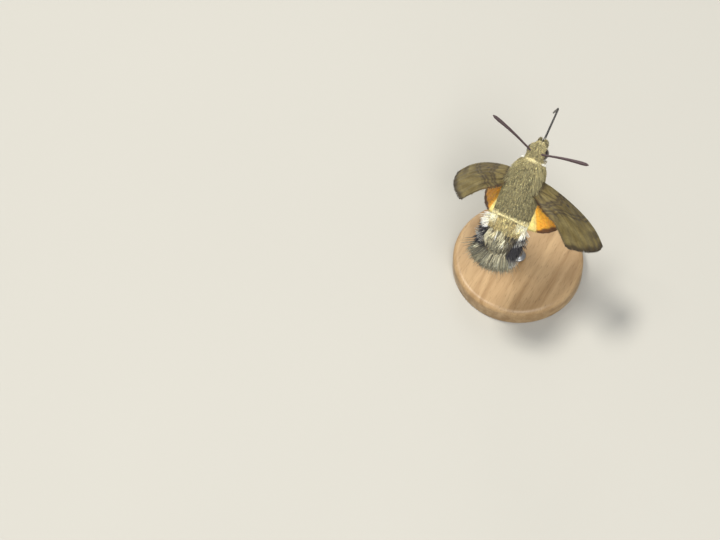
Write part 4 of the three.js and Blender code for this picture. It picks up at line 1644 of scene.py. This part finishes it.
@dataclass(frozen=True)
class Locks:
    """Rows of locks, each described by arrays as in the solids.

    Attributes:
        root: Where each lock starts.
        tip: Where it ends.
        width: How wide it is.
        bend: How far it bends with the square of the way along it.
        colour: Its colour.
        tip_colour: The colour of its tips.
        tip_from: Where along it that colour begins.
    """

    root: Array
    tip: Array
    width: Array
    bend: Array
    colour: Array
    tip_colour: Array
    tip_from: Array

    def strands(self, each: int, thin: float, seed: int, spread: float, overshoot: float = 0.0) -> Surface:
        """Fills every lock with fine strands that fan out a little towards its tip.

        Args:
            each: How many strands a lock has.
            thin: How wide a strand is.
            seed: The start of the chance.
            spread: How far the strands fan out, as a share of the lock's width.
            overshoot: How far the longest strands reach past the lock's tip, as a share of it.

        Returns:
            All strands as one surface.
        """
        rng = np.random.default_rng(seed)
        n = len(self.root) * each
        row = np.repeat(np.arange(len(self.root)), each)
        # depth: a random darkening of each strand, painted shade as if it lay deeper in the lock.
        depth = 0.5 + 0.5 * rng.random(n)
        along = (self.tip - self.root)[row]
        up = np.broadcast_to(np.array([0.0, 0.0, 1.0]), (n, 3))
        up = unit(up - along * ((along * up).sum(-1) / (along**2).sum(-1))[:, None])
        side = unit(np.cross(along, up))
        across = rng.normal(0, 0.3, n)
        over = rng.normal(0, 0.2, n)
        wide = self.width[row]
        root = self.root[row] + side * (across * wide * 0.8)[:, None] + up * (0.45 * over)[:, None]
        root = root - along * (0.1 * rng.random(n))[:, None]
        reach = 1.04 + overshoot - (0.42 + overshoot) * rng.random(n) ** 1.5
        fan = side * (across * wide * 1.1 * spread + rng.normal(0, 0.12, n))[:, None]
        fan = fan + up * (0.5 * over + rng.normal(0, 0.08, n))[:, None]
        along = (along + fan) * reach[:, None]
        # Each strand's colour is darkened by its depth: painted shade.
        colour = jitter(self.colour[row], rng, 0.32, 0.1) * depth[:, None]
        tips = jitter(self.tip_colour[row], rng, 0.2, 0.0)
        uv = 0.01 + 0.98 * columns((row + rng.random(n)) / len(self.root), rng.random(n))
        width = thin * (0.7 + 0.6 * rng.random(n))
        rise = 0.06 * rng.normal(0, 1, n)
        bend = self.bend[row] * (reach**2)[:, None] + side * rng.normal(0, 0.1, n)[:, None]
        return tufts(root, along, up, width, rise, colour, uv, bend, True, tips, self.tip_from[row])


def tail_locks() -> Locks:
    """The tail fan's locks in three layers, laid out as in the solids."""
    layers, each, spread = 3, 9, math.radians(45)
    layer, i = (part.ravel() for part in grid(np.arange(layers), np.arange(each)))
    high, seed = 1.0 - layer, layer * each + i
    across = ((i + 0.5 * (layer % 2)) / (each - 0.5)) * 2 - 1
    angle = across * spread
    start = ABDOMEN_END + 0.35 * TAIL_LENGTH
    foot, end = body_middle(start), body_middle(TAIL_TIP)
    reach = (start - TAIL_TIP) * (1.04 - 0.1 * vary(seed) - 0.06 * np.abs(high))
    root = foot + columns(0.2 * ABDOMEN_WIDTH * across, 0.0, 0.05 * ABDOMEN_HEIGHT * high)
    tip = columns(
        end[0] + reach * np.sin(angle) * 0.92,
        start - reach * np.cos(angle * 0.86),
        end[2] + 0.16 * ABDOMEN_HEIGHT * high + 0.3 * (vary(seed + 50) - 0.5),
    )
    width = 0.055 * BODY_LENGTH * (0.85 + 0.35 * vary(seed + 90))
    chance = vary(seed + 7)
    half = np.full(len(seed), 0.5)
    colour = mix(Tone.TAIL_BROWN, Tone.TAIL_DARK, 0.85 * (chance < 0.4))
    colour = mix(colour, Tone.TAIL_PALE, 0.7 * (chance > 0.8))
    tips = mix(colour, Tone.TAIL_BROWN, half)
    return Locks(root, tip, width, columns(0.0, 0.0, 0.15 * high), colour, tips, half)


def side_locks(side: int) -> Locks:
    """The tufts of one side of the abdomen, laid out as in the solids.

    Args:
        side: RIGHT or LEFT; those on the left are spread wider.

    Returns:
        The locks.
    """
    reaches, leans = ((2.4, 3.9), (46, 54)) if side == RIGHT else ((3.5, 4.4), (28, 44))
    places, rows = 5, 3
    place, row = (part.ravel() for part in grid(np.arange(places), np.arange(rows)))
    share, high = place / (places - 1), 1.0 - row
    seed = 200 + place * rows + row
    y = ABDOMEN_FRONT - ABDOMEN_LENGTH * (0.5 + 0.36 * share)
    wide = 0.5 * ABDOMEN_WIDTH * (1 - 0.28 * share**1.6)
    rise = 0.12 * ABDOMEN_HEIGHT * high
    root = columns(0.6 * wide, y, body_middle(y)[:, 2] + rise)
    length = (reaches[0] + (reaches[1] - reaches[0]) * share) * (0.9 + 0.2 * vary(seed))
    angle = np.radians(leans[0] + (leans[1] - leans[0]) * share)
    drop = length * np.sin(angle) + 0.3 * np.abs(high)
    tip = root + columns(length * np.cos(angle), -drop, rise + 0.25 * (vary(seed + 40) - 0.5))
    width = 0.058 * BODY_LENGTH * (0.85 + 0.3 * vary(seed + 70))
    mirror = np.array([side, 1, 1])
    bend = columns(-0.25, -0.2, 0.1 * high) * mirror
    return Locks(root * mirror, tip * mirror, width, bend, *MARKINGS.side_tuft(place, side))


def antenna_path(side: int, t: Array) -> Array:
    """The middle line and radius of an antenna: straight, slightly bowed, thickened to a club.

    Args:
        side: RIGHT or LEFT; the right one is held lower and less far forward.
        t: Places along it, from 0 to 1.

    Returns:
        Rows of x, y, z and radius.
    """
    forward, raised = (math.radians(turn) for turn in ((14, 17) if side == RIGHT else (28, 30)))
    foot = np.array([side * 0.3 * HEAD_WIDTH, HEAD_FRONT - 0.5 * HEAD_LENGTH, 0.28 * HEAD_HEIGHT])
    level = math.cos(raised)
    way = np.array([side * math.cos(forward) * level, math.sin(forward) * level, math.sin(raised)])
    shares = np.array([-0.06, 0.12, 0.32, 0.52, 0.72, 0.86, 0.95, 1.0])
    radii = np.array([0.26, 0.25, 0.28, 0.34, 0.4, 0.43, 0.34, 0.08])
    joints = foot + way * (shares * ANTENNA_LENGTH)[:, None]
    joints[:, 1] += 0.02 * ANTENNA_LENGTH * np.sin(np.pi * np.maximum(shares, 0))
    return smooth_rows(np.concatenate([joints, radii[:, None]], 1), t)


@dataclass(frozen=True)
class Antennae:
    """The two antennae, ringed along their length and darker above than below.

    Attributes:
        rings: How many rings of points each has.
        sides: How many points go round.
        joints: How many segments it shows.
    """

    rings: int = 360
    sides: int = 24
    joints: int = 60

    def build(self) -> None:
        """Builds both. Radius: the path's own times 0.9 + 0.1 |sin(segments)|."""
        finish = BareChitin("antenna_scales", 0.5, 0.2).build()
        t, angle = grid(np.linspace(0, 1, self.rings), circle(self.sides))
        beat = np.abs(np.sin(np.pi * self.joints * t))
        colour = mix(Tone.ANTENNA_PALE, Tone.ANTENNA_DARK, ramp(np.sin(angle), -0.5, 0.1))
        colour = colour * (0.7 + 0.45 * beat)[..., None]
        colour = mix(colour, Tone.ANTENNA_DARK, 0.7 * ramp(t, 0.55, 0.85))
        for side in (RIGHT, LEFT):
            row = antenna_path(side, t[:, 0])
            radius = 0.92 * row[:, 3:] * (0.9 + 0.1 * beat)
            horn = swept(row[:, :3], radius, (0, 0, 1), self.sides, colour)
            name = "antenna_" + SIDE_NAMES[side]
            dress(horn.build(name + "_ringed", finish, "horn_map"), (name,))


@dataclass(frozen=True)
class Proboscis:
    """The long tongue: two half tubes side by side, ringed, straight ahead and then down.

    Attributes:
        rings: How many rings of points it has.
        sides: How many points go round.
    """

    rings: int = 300
    sides: int = 24

    def build(self) -> None:
        """Builds it. Radius: the path's own times 1 + 0.14 cos(2 angle)."""
        knee = np.array([-0.1, HEAD_FRONT + 0.24 * BODY_LENGTH, -0.14 * BODY_LENGTH])
        down = unit(np.array([-0.235, -0.25, -0.94]))
        foot = np.array([0, HEAD_FRONT - 0.3 * HEAD_LENGTH, -0.42 * HEAD_HEIGHT])
        ahead = knee - foot
        rest = PROBOSCIS_LENGTH - np.linalg.norm(ahead)
        joints = [foot + ahead * share for share in (0, 0.25, 0.5, 0.75, 0.93)]
        joints += [knee + down * share * rest for share in (0.06, 0.25, 0.5, 0.75, 1)]
        radii = np.array([0.34, 0.3, 0.28, 0.27, 0.26, 0.26, 0.26, 0.26, 0.25, 0.18])
        row = smooth_rows(np.concatenate([joints, radii[:, None]], 1), np.linspace(0, 1, self.rings))
        angle = circle(self.sides)
        radius = 0.9 * row[:, 3:] * (1 + 0.14 * np.cos(2 * angle))
        seam = band(np.abs(np.sin(angle)), 1.0, 0.01, 0.05)
        colour = mix(Tone.TONGUE_BLACK, Tone.EYE_BROWN, 0.4 * seam)
        tongue = swept(row[:, :3], radius, (1, 0, 0), self.sides, colour)
        finish = BareChitin("tongue_chitin", 0.34, 0.4, 260).build()
        dress(tongue.build("proboscis_ribbed", finish, "tongue_map"), ("proboscis",))


@dataclass(frozen=True)
class WingPlan:
    """A wing laid flat: shares of its length along it and towards its leading edge.

    Attributes:
        length: Its length.
        camber: How far it is arched.
        leading: The leading edge, from the root to the tip.
        trailing: The trailing edge, from the root to the hind corner.
        bulge: How far the margin swells out between the two.
        veins: The place of each vein between the two edges, and where it leaves the cell.
    """

    length: float
    camber: float
    leading: tuple
    trailing: tuple
    bulge: tuple
    veins: tuple

    def spread(self, s: Array, at: Array) -> Array:
        """A point of the flat wing, arched: between the two edges, swelled towards the margin.

        Args:
            s: The share of the way from the root to the margin.
            at: The share of the way from the leading edge to the trailing edge.

        Returns:
            The points.
        """
        front, back = smooth_rows(self.leading, s), smooth_rows(self.trailing, s)
        swell = 4 * at * (1 - at) * s**2
        flat = [front[..., k] * (1 - at) + back[..., k] * at + self.bulge[k] * swell for k in (0, 1)]
        lift = self.camber * np.sin(np.pi * at) * np.sin(np.pi * (0.15 + 0.7 * s))
        return columns(*flat, lift) * self.length

    def ridge(self, s: Array, at: Array) -> Array:
        """How much of a vein there is at each place: a bell curve 0.12 mm wide about its line.

        Args:
            s: The share of the way from the root to the margin.
            at: The share of the way from the leading edge to the trailing edge.

        Returns:
            1 on a vein, 0 off it.
        """
        gap = smooth_rows(self.leading, s) - smooth_rows(self.trailing, s)
        wide = np.linalg.norm(gap, axis=-1) * self.length
        bells = [np.exp(-(((s - 0.42) * self.length / 0.14) ** 2)) * band(at, 0.4, 0.12, 0.02)]
        for place, start in self.veins:
            reach = ramp(s, start - 0.03, start) if start else 1.0
            bells.append(np.exp(-(((at - place) * wide / 0.12) ** 2)) * reach)
        return np.max(bells, axis=0) * (1 - s**6)


@dataclass(frozen=True)
class WingPose:
    """How a wing is held.

    Attributes:
        root: Where it is hinged.
        sweep: How far it is swept back, in degrees.
        drop: How far it is let down.
        root_twist: Its twist at the root.
        tip_twist: Its twist towards the tip.
    """

    root: tuple
    sweep: float
    drop: float
    root_twist: float
    tip_twist: float

    def set(self, points: Array) -> Array:
        """Twists the flat wing about a line behind its leading edge, sweeps it and lets it down.

        Args:
            points: Points of the flat wing.

        Returns:
            The points in the moth's own frame, on its right.
        """
        x, y, z = (points[..., k] for k in range(3))
        share = ramp(x, 0, 0.35 * FOREWING_LENGTH)
        hinge = 0.07 * FOREWING_LENGTH * share
        twist = -np.radians(self.root_twist + (self.tip_twist - self.root_twist) * share)
        y = y - hinge
        y, z = y * np.cos(twist) - z * np.sin(twist) + hinge, y * np.sin(twist) + z * np.cos(twist)
        sweep, drop = math.radians(self.sweep), math.radians(self.drop)
        x, y = x * math.cos(sweep) + y * math.sin(sweep), y * math.cos(sweep) - x * math.sin(sweep)
        x, z = x * math.cos(drop) + z * math.sin(drop), z * math.cos(drop) - x * math.sin(drop)
        return columns(x, y, z) + np.array(self.root)


FOREWING = WingPlan(
    FOREWING_LENGTH,
    0.035,
    ((0, 0.05), (0.16, 0.08), (0.42, 0.1), (0.66, 0.098), (0.86, 0.06), (1, -0.01)),
    ((0, -0.094), (0.08, -0.13), (0.18, -0.178), (0.3, -0.232), (0.43, -0.3), (0.56, -0.375)),
    (0.1, 0.0),
    (
        (0, 0), (0.08, 0), (0.18, 0), (0.29, 0.4), (0.41, 0.45),
        (0.53, 0.4), (0.65, 0), (0.77, 0), (0.89, 0), (1, 0),
    ),
)
HINDWING = WingPlan(
    HINDWING_LENGTH,
    0.03,
    ((0, 0.07), (0.23, 0.165), (0.5, 0.215), (0.76, 0.2), (0.96, 0.1)),
    ((0, -0.105), (0.06, -0.2), (0.12, -0.3), (0.19, -0.4), (0.27, -0.485)),
    (0.17, -0.06),
    ((0, 0), (0.13, 0), (0.28, 0.35), (0.43, 0.35), (0.58, 0), (0.73, 0), (0.87, 0), (1, 0)),
)


@dataclass(frozen=True)
class Wing:
    """One wing: a thin arched membrane with raised veins on both faces, and a fringe.

    Attributes:
        plan: Its flat form.
        pose: How it is held.
        side: RIGHT or LEFT.
        hind: Whether it is a hindwing.
        steps: How many rows of points go along it.
        across: How many go across it.
        half: Half the thickness of the membrane.
        vein: The height of a vein.
    """

    plan: WingPlan
    pose: WingPose
    side: int
    hind: bool
    steps: int = 112
    across: int = 110
    half: float = 0.09
    vein: float = 0.07

    def _place(self, s: Array, at: Array, raise_by: Array | float = 0.0) -> Array:
        """Points of the wing as it is held, raised off its middle face by a height."""
        flat = self.plan.spread(s, at)
        flat[..., 2] += raise_by + 0.05 * np.sin(2 * np.pi * 6 * at) * ramp(s, 0.1, 0.5)
        return self.pose.set(flat) * np.array([self.side, 1, 1])

    def _tone(self, s: Array, at: Array, face: Face) -> Array:
        """The colour of one of its faces."""
        return (MARKINGS.hindwing if self.hind else MARKINGS.forewing)(s, at, face)

    def membrane(self) -> Surface:
        """Both faces, joined round the whole rim, so that the wing is closed."""
        s, at = grid(np.linspace(0, 1, self.steps), np.linspace(0, 1, self.across))
        ridge = self.plan.ridge(s, at)
        half = self.half * (1 - 0.5 * s**8) + self.vein * ridge
        flat = self.plan.spread(s, at) / self.plan.length
        points, colours, places = [], [], []
        for face, offset in ((Face.UPPER, 0.0), (Face.UNDER, 0.5)):
            points.append(self._place(s, at, half * face.value))
            colours.append(self._tone(s, at, face) * (1 - 0.22 * ridge)[..., None])
            places.append(columns(0.02 + 0.4 * flat[..., 0] / 1.15 + offset, 0.5 + 0.4 * flat[..., 1]))
        points, colours, places = (
            np.stack(part).reshape(-1, np.shape(part)[-1]) for part in (points, colours, places)
        )
        i, k = grid(np.arange(self.steps - 1), np.arange(self.across - 1))
        a, under = (i * self.across + k).ravel(), self.steps * self.across
        b, c, d = a + 1, a + self.across + 1, a + self.across
        faces = [columns(a, b, c), columns(a, c, d), columns(a, c, b) + under, columns(a, d, c) + under]
        ahead, tip = np.arange(self.steps - 1) * self.across, (self.steps - 1) * self.across
        rims = (
            (ahead, ahead + self.across),
            (ahead + 2 * self.across - 1, ahead + self.across - 1),
            (np.arange(1, self.across), np.arange(self.across - 1)),
            (tip + np.arange(self.across - 1), tip + np.arange(1, self.across)),
        )
        for start, end in rims:
            faces += [columns(start, end, end + under), columns(start, end + under, start + under)]
        return Surface(points, outward(points, np.concatenate(faces)), colours, places)

    def fringe(self, count: int = 900) -> Surface:
        """Short hair-like scales along the margin and the trailing edge, pointing off the wing.

        Args:
            count: How many there are.

        Returns:
            The fringe.
        """
        rng = np.random.default_rng(211 + 3 * self.side + self.hind)
        t = rng.random(count) * 1.9
        margin = t < 1
        s, at = np.where(margin, 1.0, 2.0 - t), np.where(margin, t, 1.0)
        root = self._place(s, at)
        inner = self._place(np.where(margin, 0.97, s), np.where(margin, at, 0.97))
        up = unit(np.cross(self._place(s, np.maximum(at - 0.02, 0)) - root, inner - root) + 1e-6)
        length = (0.3 + 0.3 * rng.random(count)) * np.where(margin, 0.9, 1.2)
        root = root - (root - inner) * 0.1
        along = unit(unit(root - inner) + rng.normal(0, 0.12, (count, 3))) * length[:, None]
        colour = jitter(self._tone(s, at, Face.UPPER), rng, 0.15, 0.05)
        return tufts(root, along, up, 0.1, 0.0, colour, 0.02 + 0.9 * columns(s, at))

    def build(self, finish: Material, fringe_finish: Material) -> None:
        """Builds the membrane and its fringe."""
        kind = "hindwing" if self.hind else "forewing"
        name = kind + "_" + SIDE_NAMES[self.side]
        dress(self.membrane().build(name + "_membrane", finish, "wing_plan"), (name,))
        dress(self.fringe().build(name + "_fringe", fringe_finish, "OFBake"))


def build_wings(coat: Material) -> None:
    """Builds all four wings.

    Args:
        coat: The finish of the fringes.
    """
    fore_root = (0.38 * THORAX_WIDTH, 0.08 * THORAX_LENGTH, 0.24 * THORAX_HEIGHT)
    hind_root = (0.38 * THORAX_WIDTH, -0.2 * THORAX_LENGTH, -0.02 * THORAX_HEIGHT)
    fore_finish = ScaledWing("forewing_scales", FOREWING_LENGTH).build()
    hind_finish = ScaledWing("hindwing_scales", HINDWING_LENGTH).build()
    strokes = {
        RIGHT: (WingPose(fore_root, 25, 40, 12, 42), WingPose(hind_root, 24, 60, 4, 4)),
        LEFT: (WingPose(fore_root, 20, 48, 12, 26), WingPose(hind_root, 22, 58, 4, 4)),
    }
    for side, (fore, hind) in strokes.items():
        Wing(FOREWING, fore, side, False).build(fore_finish, coat)
        Wing(HINDWING, hind, side, True, 88, 106).build(hind_finish, coat)


@dataclass(frozen=True)
class Leg:
    """One leg, drawn up against the belly: hip, knee, heel and the foot's two ends.

    Attributes:
        name: Which pair it belongs to.
        joints: Its joints on the right.
        side: RIGHT or LEFT.
        radii: Its radius at each joint.
        rings: How many rings of points it has.
        sides: How many points go round.
        scales: How many scales it has.
    """

    name: str
    joints: tuple
    side: int
    radii: tuple = (0.55, 0.5, 0.4, 0.3, 0.24)
    rings: int = 120
    sides: int = 16
    scales: int = 700

    def path(self, t: Array) -> Array:
        """The middle line and radius: a smooth curve through the joints.

        Args:
            t: Places along it, from 0 to 1.

        Returns:
            Rows of x, y, z and radius.
        """
        return smooth_rows([(self.side * x, y, z, r) for (x, y, z), r in zip(self.joints, self.radii)], t)

    def build(self, finish: Material) -> None:
        """Builds the limb, its scales, its spurs and its claws as one piece.

        Args:
            finish: Its finish.
        """
        t = np.linspace(0, 1, self.rings)
        row = self.path(t)
        pinch = 1 - 0.28 * (band(t, 0.27, 0.01, 0.05) + band(t, 0.52, 0.01, 0.05))
        for joint in (0.8, 0.87, 0.93):
            pinch = pinch - 0.2 * band(t, joint, 0.004, 0.02)
        radius = (row[:, 3] - 0.1) * pinch * (1 - 0.25 * ramp(t, 0.55, 0.8))
        colour = mix(Tone.LEG_PALE, Tone.WING_DARK, 0.6 * ramp(t, 0.6, 0.9))[:, None]
        limb = swept(row[:, :3], radius, (0, 0, 1), self.sides, colour)
        name = "leg_" + self.name + "_" + SIDE_NAMES[self.side]
        whole = Surface.joined([limb, self._scales(), self._spurs()])
        dress(whole.build(name + "_scaled", finish, "OFBake"), (name,))

    def _scales(self) -> Surface:
        """Flat scales all over, lying towards the foot, shorter there."""
        n = self.scales
        rng = np.random.default_rng(401 + self.side + len(self.name))
        t = rng.random(n) ** 1.1 * 0.97
        turn = rng.random(n) * 2 * np.pi
        here = self.path(t)
        along = unit(self.path(np.minimum(t + 0.02, 1))[:, :3] - self.path(t - 0.02 * (t > 0.02))[:, :3])
        across = unit(np.cross(along, np.array([1.0, 0.2, 0.1])))
        out = across * np.cos(turn)[:, None] + np.cross(along, across) * np.sin(turn)[:, None]
        size = 1 - 0.6 * ramp(t, 0.4, 0.8)
        root = here[:, :3] + out * (here[:, 3:] - 0.16)
        base = mix(Tone.BELLY_WHITE, Tone.LEG_PALE, ramp(t, 0.1, 0.5))
        base = mix(base, Tone.TAIL_DARK, 0.55 * ramp(t, 0.6, 0.9))
        uv = 0.02 + 0.9 * columns(turn / 6.4, t)
        length = (0.35 + 0.3 * rng.random(n)) * (0.4 + 0.6 * size)
        rise = 0.06 * size * (0.5 + rng.random(n))
        width = 0.1 * (0.5 + 0.5 * size)
        return tufts(root, along * length[:, None], out, width, rise, jitter(base, rng), uv)

    def _spurs(self) -> Surface:
        """A pair of spurs at the end of the shin, rows of spines under the foot, and two claws."""
        row = (0.7, 0.76, 0.82, 0.88, 0.94)
        t = np.array([0.62, 0.62, *row, *row, 1.0, 1.0])
        way = np.where(np.arange(len(t)) % 2, 1.0, -1.0)
        here = self.path(t)
        along = unit(here[:, :3] - self.path(t - 0.03)[:, :3])
        aside = unit(np.cross(along, np.array([0.0, 0.0, 1.0]))) * way[:, None]
        lean = unit(along + 0.5 * aside - np.array([0, 0, 0.3]))
        colour = np.broadcast_to(Tone.WING_LINE.linear, (len(t), 3))
        uv = columns(0.5 + 0.01 * np.arange(len(t)), 0.95)
        root = here[:, :3] + aside * 0.5 * here[:, 3:]
        length, width = np.where(t < 0.65, 0.9, 0.28)[:, None], np.where(t < 0.65, 0.16, 0.09)
        return tufts(root, lean * length, unit(np.cross(lean, aside)), width, 0.02 * way, colour, uv)


def build_legs() -> None:
    """Builds the six legs."""
    finish = ScaleCoat("leg_scales", 0.7, 0.05, 0.2, 0.02, 0.25).build()
    pairs = {
        "front": ((0.9, 2.6, 1.6), (1.5, 4.6, -0.1), (1.1, 3.2, -1.1), (0.9, 0.6, -1.7), (0.8, -1.6, -1.9)),
        "middle": (
            (2.1, 0.6, 1.8), (3.1, -0.8, -0.1), (2.5, -3.6, -0.5), (2.2, -6.2, -0.6), (2.1, -8.2, -0.4),
        ),
        "hind": ((1.1, -1.9, 1.5), (1.3, -3.4, -0.5), (1.0, -6.6, -0.4), (0.7, -9.6, 0.1), (0.7, -12.2, 0.6)),
    }
    for name, joints in pairs.items():
        joints = tuple((x, y, BELLY + over) for x, y, over in joints)
        for side in (RIGHT, LEFT):
            Leg(name, joints, side).build(finish)


@dataclass(frozen=True)
class Stand:
    """The display stand: a turned beech disc and a thin steel rod with a small foot.

    Attributes:
        radius: The disc's radius.
        height: Its height.
        rounding: The rounding of its upper edge.
        chamfer: The chamfer of its lower edge.
        rod_radius: The rod's radius.
        rod_top: How high the rod reaches.
        foot_radius: Its foot's radius.
        foot_height: Its foot's height.
        sides: How many points go round.
    """

    radius: float = 0.48 * BODY_LENGTH
    height: float = 4.5
    rounding: float = 1.2
    chamfer: float = 0.4
    rod_radius: float = 0.8
    rod_top: float = 33.0
    foot_radius: float = 1.6
    foot_height: float = 0.9
    sides: int = 160

    def _turned(self, profile: Array, colour: Array) -> Surface:
        """Turns a profile of radius and height about the z axis and closes both ends."""
        angle = circle(self.sides)
        radius, height = profile[:, :1], profile[:, 1:]
        rings = columns(radius * np.cos(angle), radius * np.sin(angle), height)
        return wrapped(rings, *(np.array([0.0, 0.0, profile[k, 1]]) for k in (0, -1)), colour)

    def build(self) -> None:
        """Builds the disc and the rod."""
        corner, turn = self.radius - self.rounding, np.linspace(0, np.pi / 2, 14)
        rim = columns(corner + self.rounding * np.cos(turn), self.height - self.rounding * (1 - np.sin(turn)))
        cut = np.linspace(0, np.pi / 2, 6)
        foot = columns(self.radius - self.chamfer * (1 - np.sin(cut)), self.chamfer * (1 - np.cos(cut)))
        under = columns(np.linspace(0.5, self.radius - self.chamfer - 0.3, 12), 0.0)
        over = columns(np.linspace(corner - 0.3, 0.5, 14), self.height)
        disc = self._turned(np.concatenate([under, foot, rim, over]), Tone.BEECH_LIGHT.linear)
        disc = disc.build("stand_base_turned", TurnedBeech("turned_beech").build(), "turned", placed=False)
        dress(disc, ("stand_base",))
        wide, low, curve = self.foot_radius, self.height + GAP, np.linspace(0, 1, 12)
        wall = ((0.5, low), (wide - 0.1, low), (wide, low + 0.1), (wide, low + 0.42 * self.foot_height))
        flare = columns(
            wide - 0.12 - (wide - self.rod_radius - 0.25) * curve**0.8,
            low + 0.5 * self.foot_height * (1 + np.sin(np.pi / 2 * curve)),
        )
        shaft = columns(self.rod_radius, np.linspace(low + self.foot_height + 0.1, self.rod_top, 20))
        rod = self._turned(np.concatenate([wall, flare, shaft]), Tone.STEEL.linear)
        steel = GroundSteel("ground_stainless_steel").build()
        dress(rod.build("stand_rod_ground", steel, "turned", placed=False), ("stand_rod",))


def build_coat(coat: Material) -> None:
    """Builds the body's coat in stretches, the side tufts and the tail fan.

    A row of the table holds the name, what is joined in, and the fields of Coat from the front on.

    Args:
        coat: The finish of hair and scales.
    """
    back, belly, rump = (-0.35, math.pi + 0.35), (math.pi + 0.35, 2 * math.pi - 0.35), (0.7, math.pi - 0.7)
    fore, rear = THORAX_LENGTH / 2 + 0.1, -THORAX_LENGTH / 2
    neck, waist, tail = 4.6, -9.5, -10.9
    shoulders = (tegula_tufts(RIGHT), tegula_tufts(LEFT), line_tufts(MARKINGS.collar, 0.25, 72, 520, 181))
    line = line_tufts(MARKINGS.hind_line - 0.55, 0.5, 80, 800, 191)
    face = HeadTrim().surfaces()
    for name, extra, *form in (
        ("head_coat", face, HEAD_FRONT - 0.32, neck, 7200, 0.5, 0.075, 0.16, 1, 0.0, 2 * math.pi, 30, 2.4),
        ("thorax_coat_front", shoulders, fore, 0.0, 10600, 0.9, 0.085, 0.26, 2, *back),
        ("thorax_coat_rear", (), 0.2, rear, 12000, 1.05, 0.09, 0.27, 3, *back),
        ("thorax_coat_under", (), fore, rear, 5600, 0.95, 0.16, 0.3, 4, *belly),
        ("abdomen_coat_front", (line,), rear + 0.2, waist - 0.1, 11400, 1.0, 0.095, 0.24, 5, *back),
        ("abdomen_coat_rear", (), waist + 0.1, ABDOMEN_END + 0.3, 9000, 1.3, 0.115, 0.3, 6, *back),
        ("rump_coat", (), tail, ABDOMEN_END + 0.4, 4200, 2.4, 0.13, 0.5, 8, *rump, 12, 0.8, True),
        ("abdomen_coat_under", (), rear + 0.2, ABDOMEN_END + 0.3, 5600, 0.95, 0.16, 0.22, 7, *belly),
    ):
        Coat(name, *form).build(coat, extra)
    for side in (RIGHT, LEFT):
        tuft = side_locks(side).strands(150, 0.16, 500 + side, 0.7)
        dress(tuft.build("side_tuft_" + SIDE_NAMES[side], coat, "OFBake"), ("abdomen",))
    locks = tail_locks()
    fan = Surface.joined([locks.strands(170, 0.17, 600, 1.4), locks.strands(40, 0.1, 601, 2.4, 0.14)])
    dress(fan.build("tail_fan_scales", coat, "OFBake"), ("tail_fan",))


def main() -> None:
    """Builds the studio and the moth, in order."""
    logging.basicConfig(level=logging.INFO, format="%(name)s: %(message)s")
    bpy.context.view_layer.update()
    Studio().build()
    coat = ScaleCoat("hair_and_scales").build()
    Skin().build(coat)
    build_coat(coat)
    Eyes().build()
    Antennae().build()
    Proboscis().build()
    build_wings(coat)
    build_legs()
    Stand().build()
    bpy.context.view_layer.update()


if __name__ == "__main__":
    main()
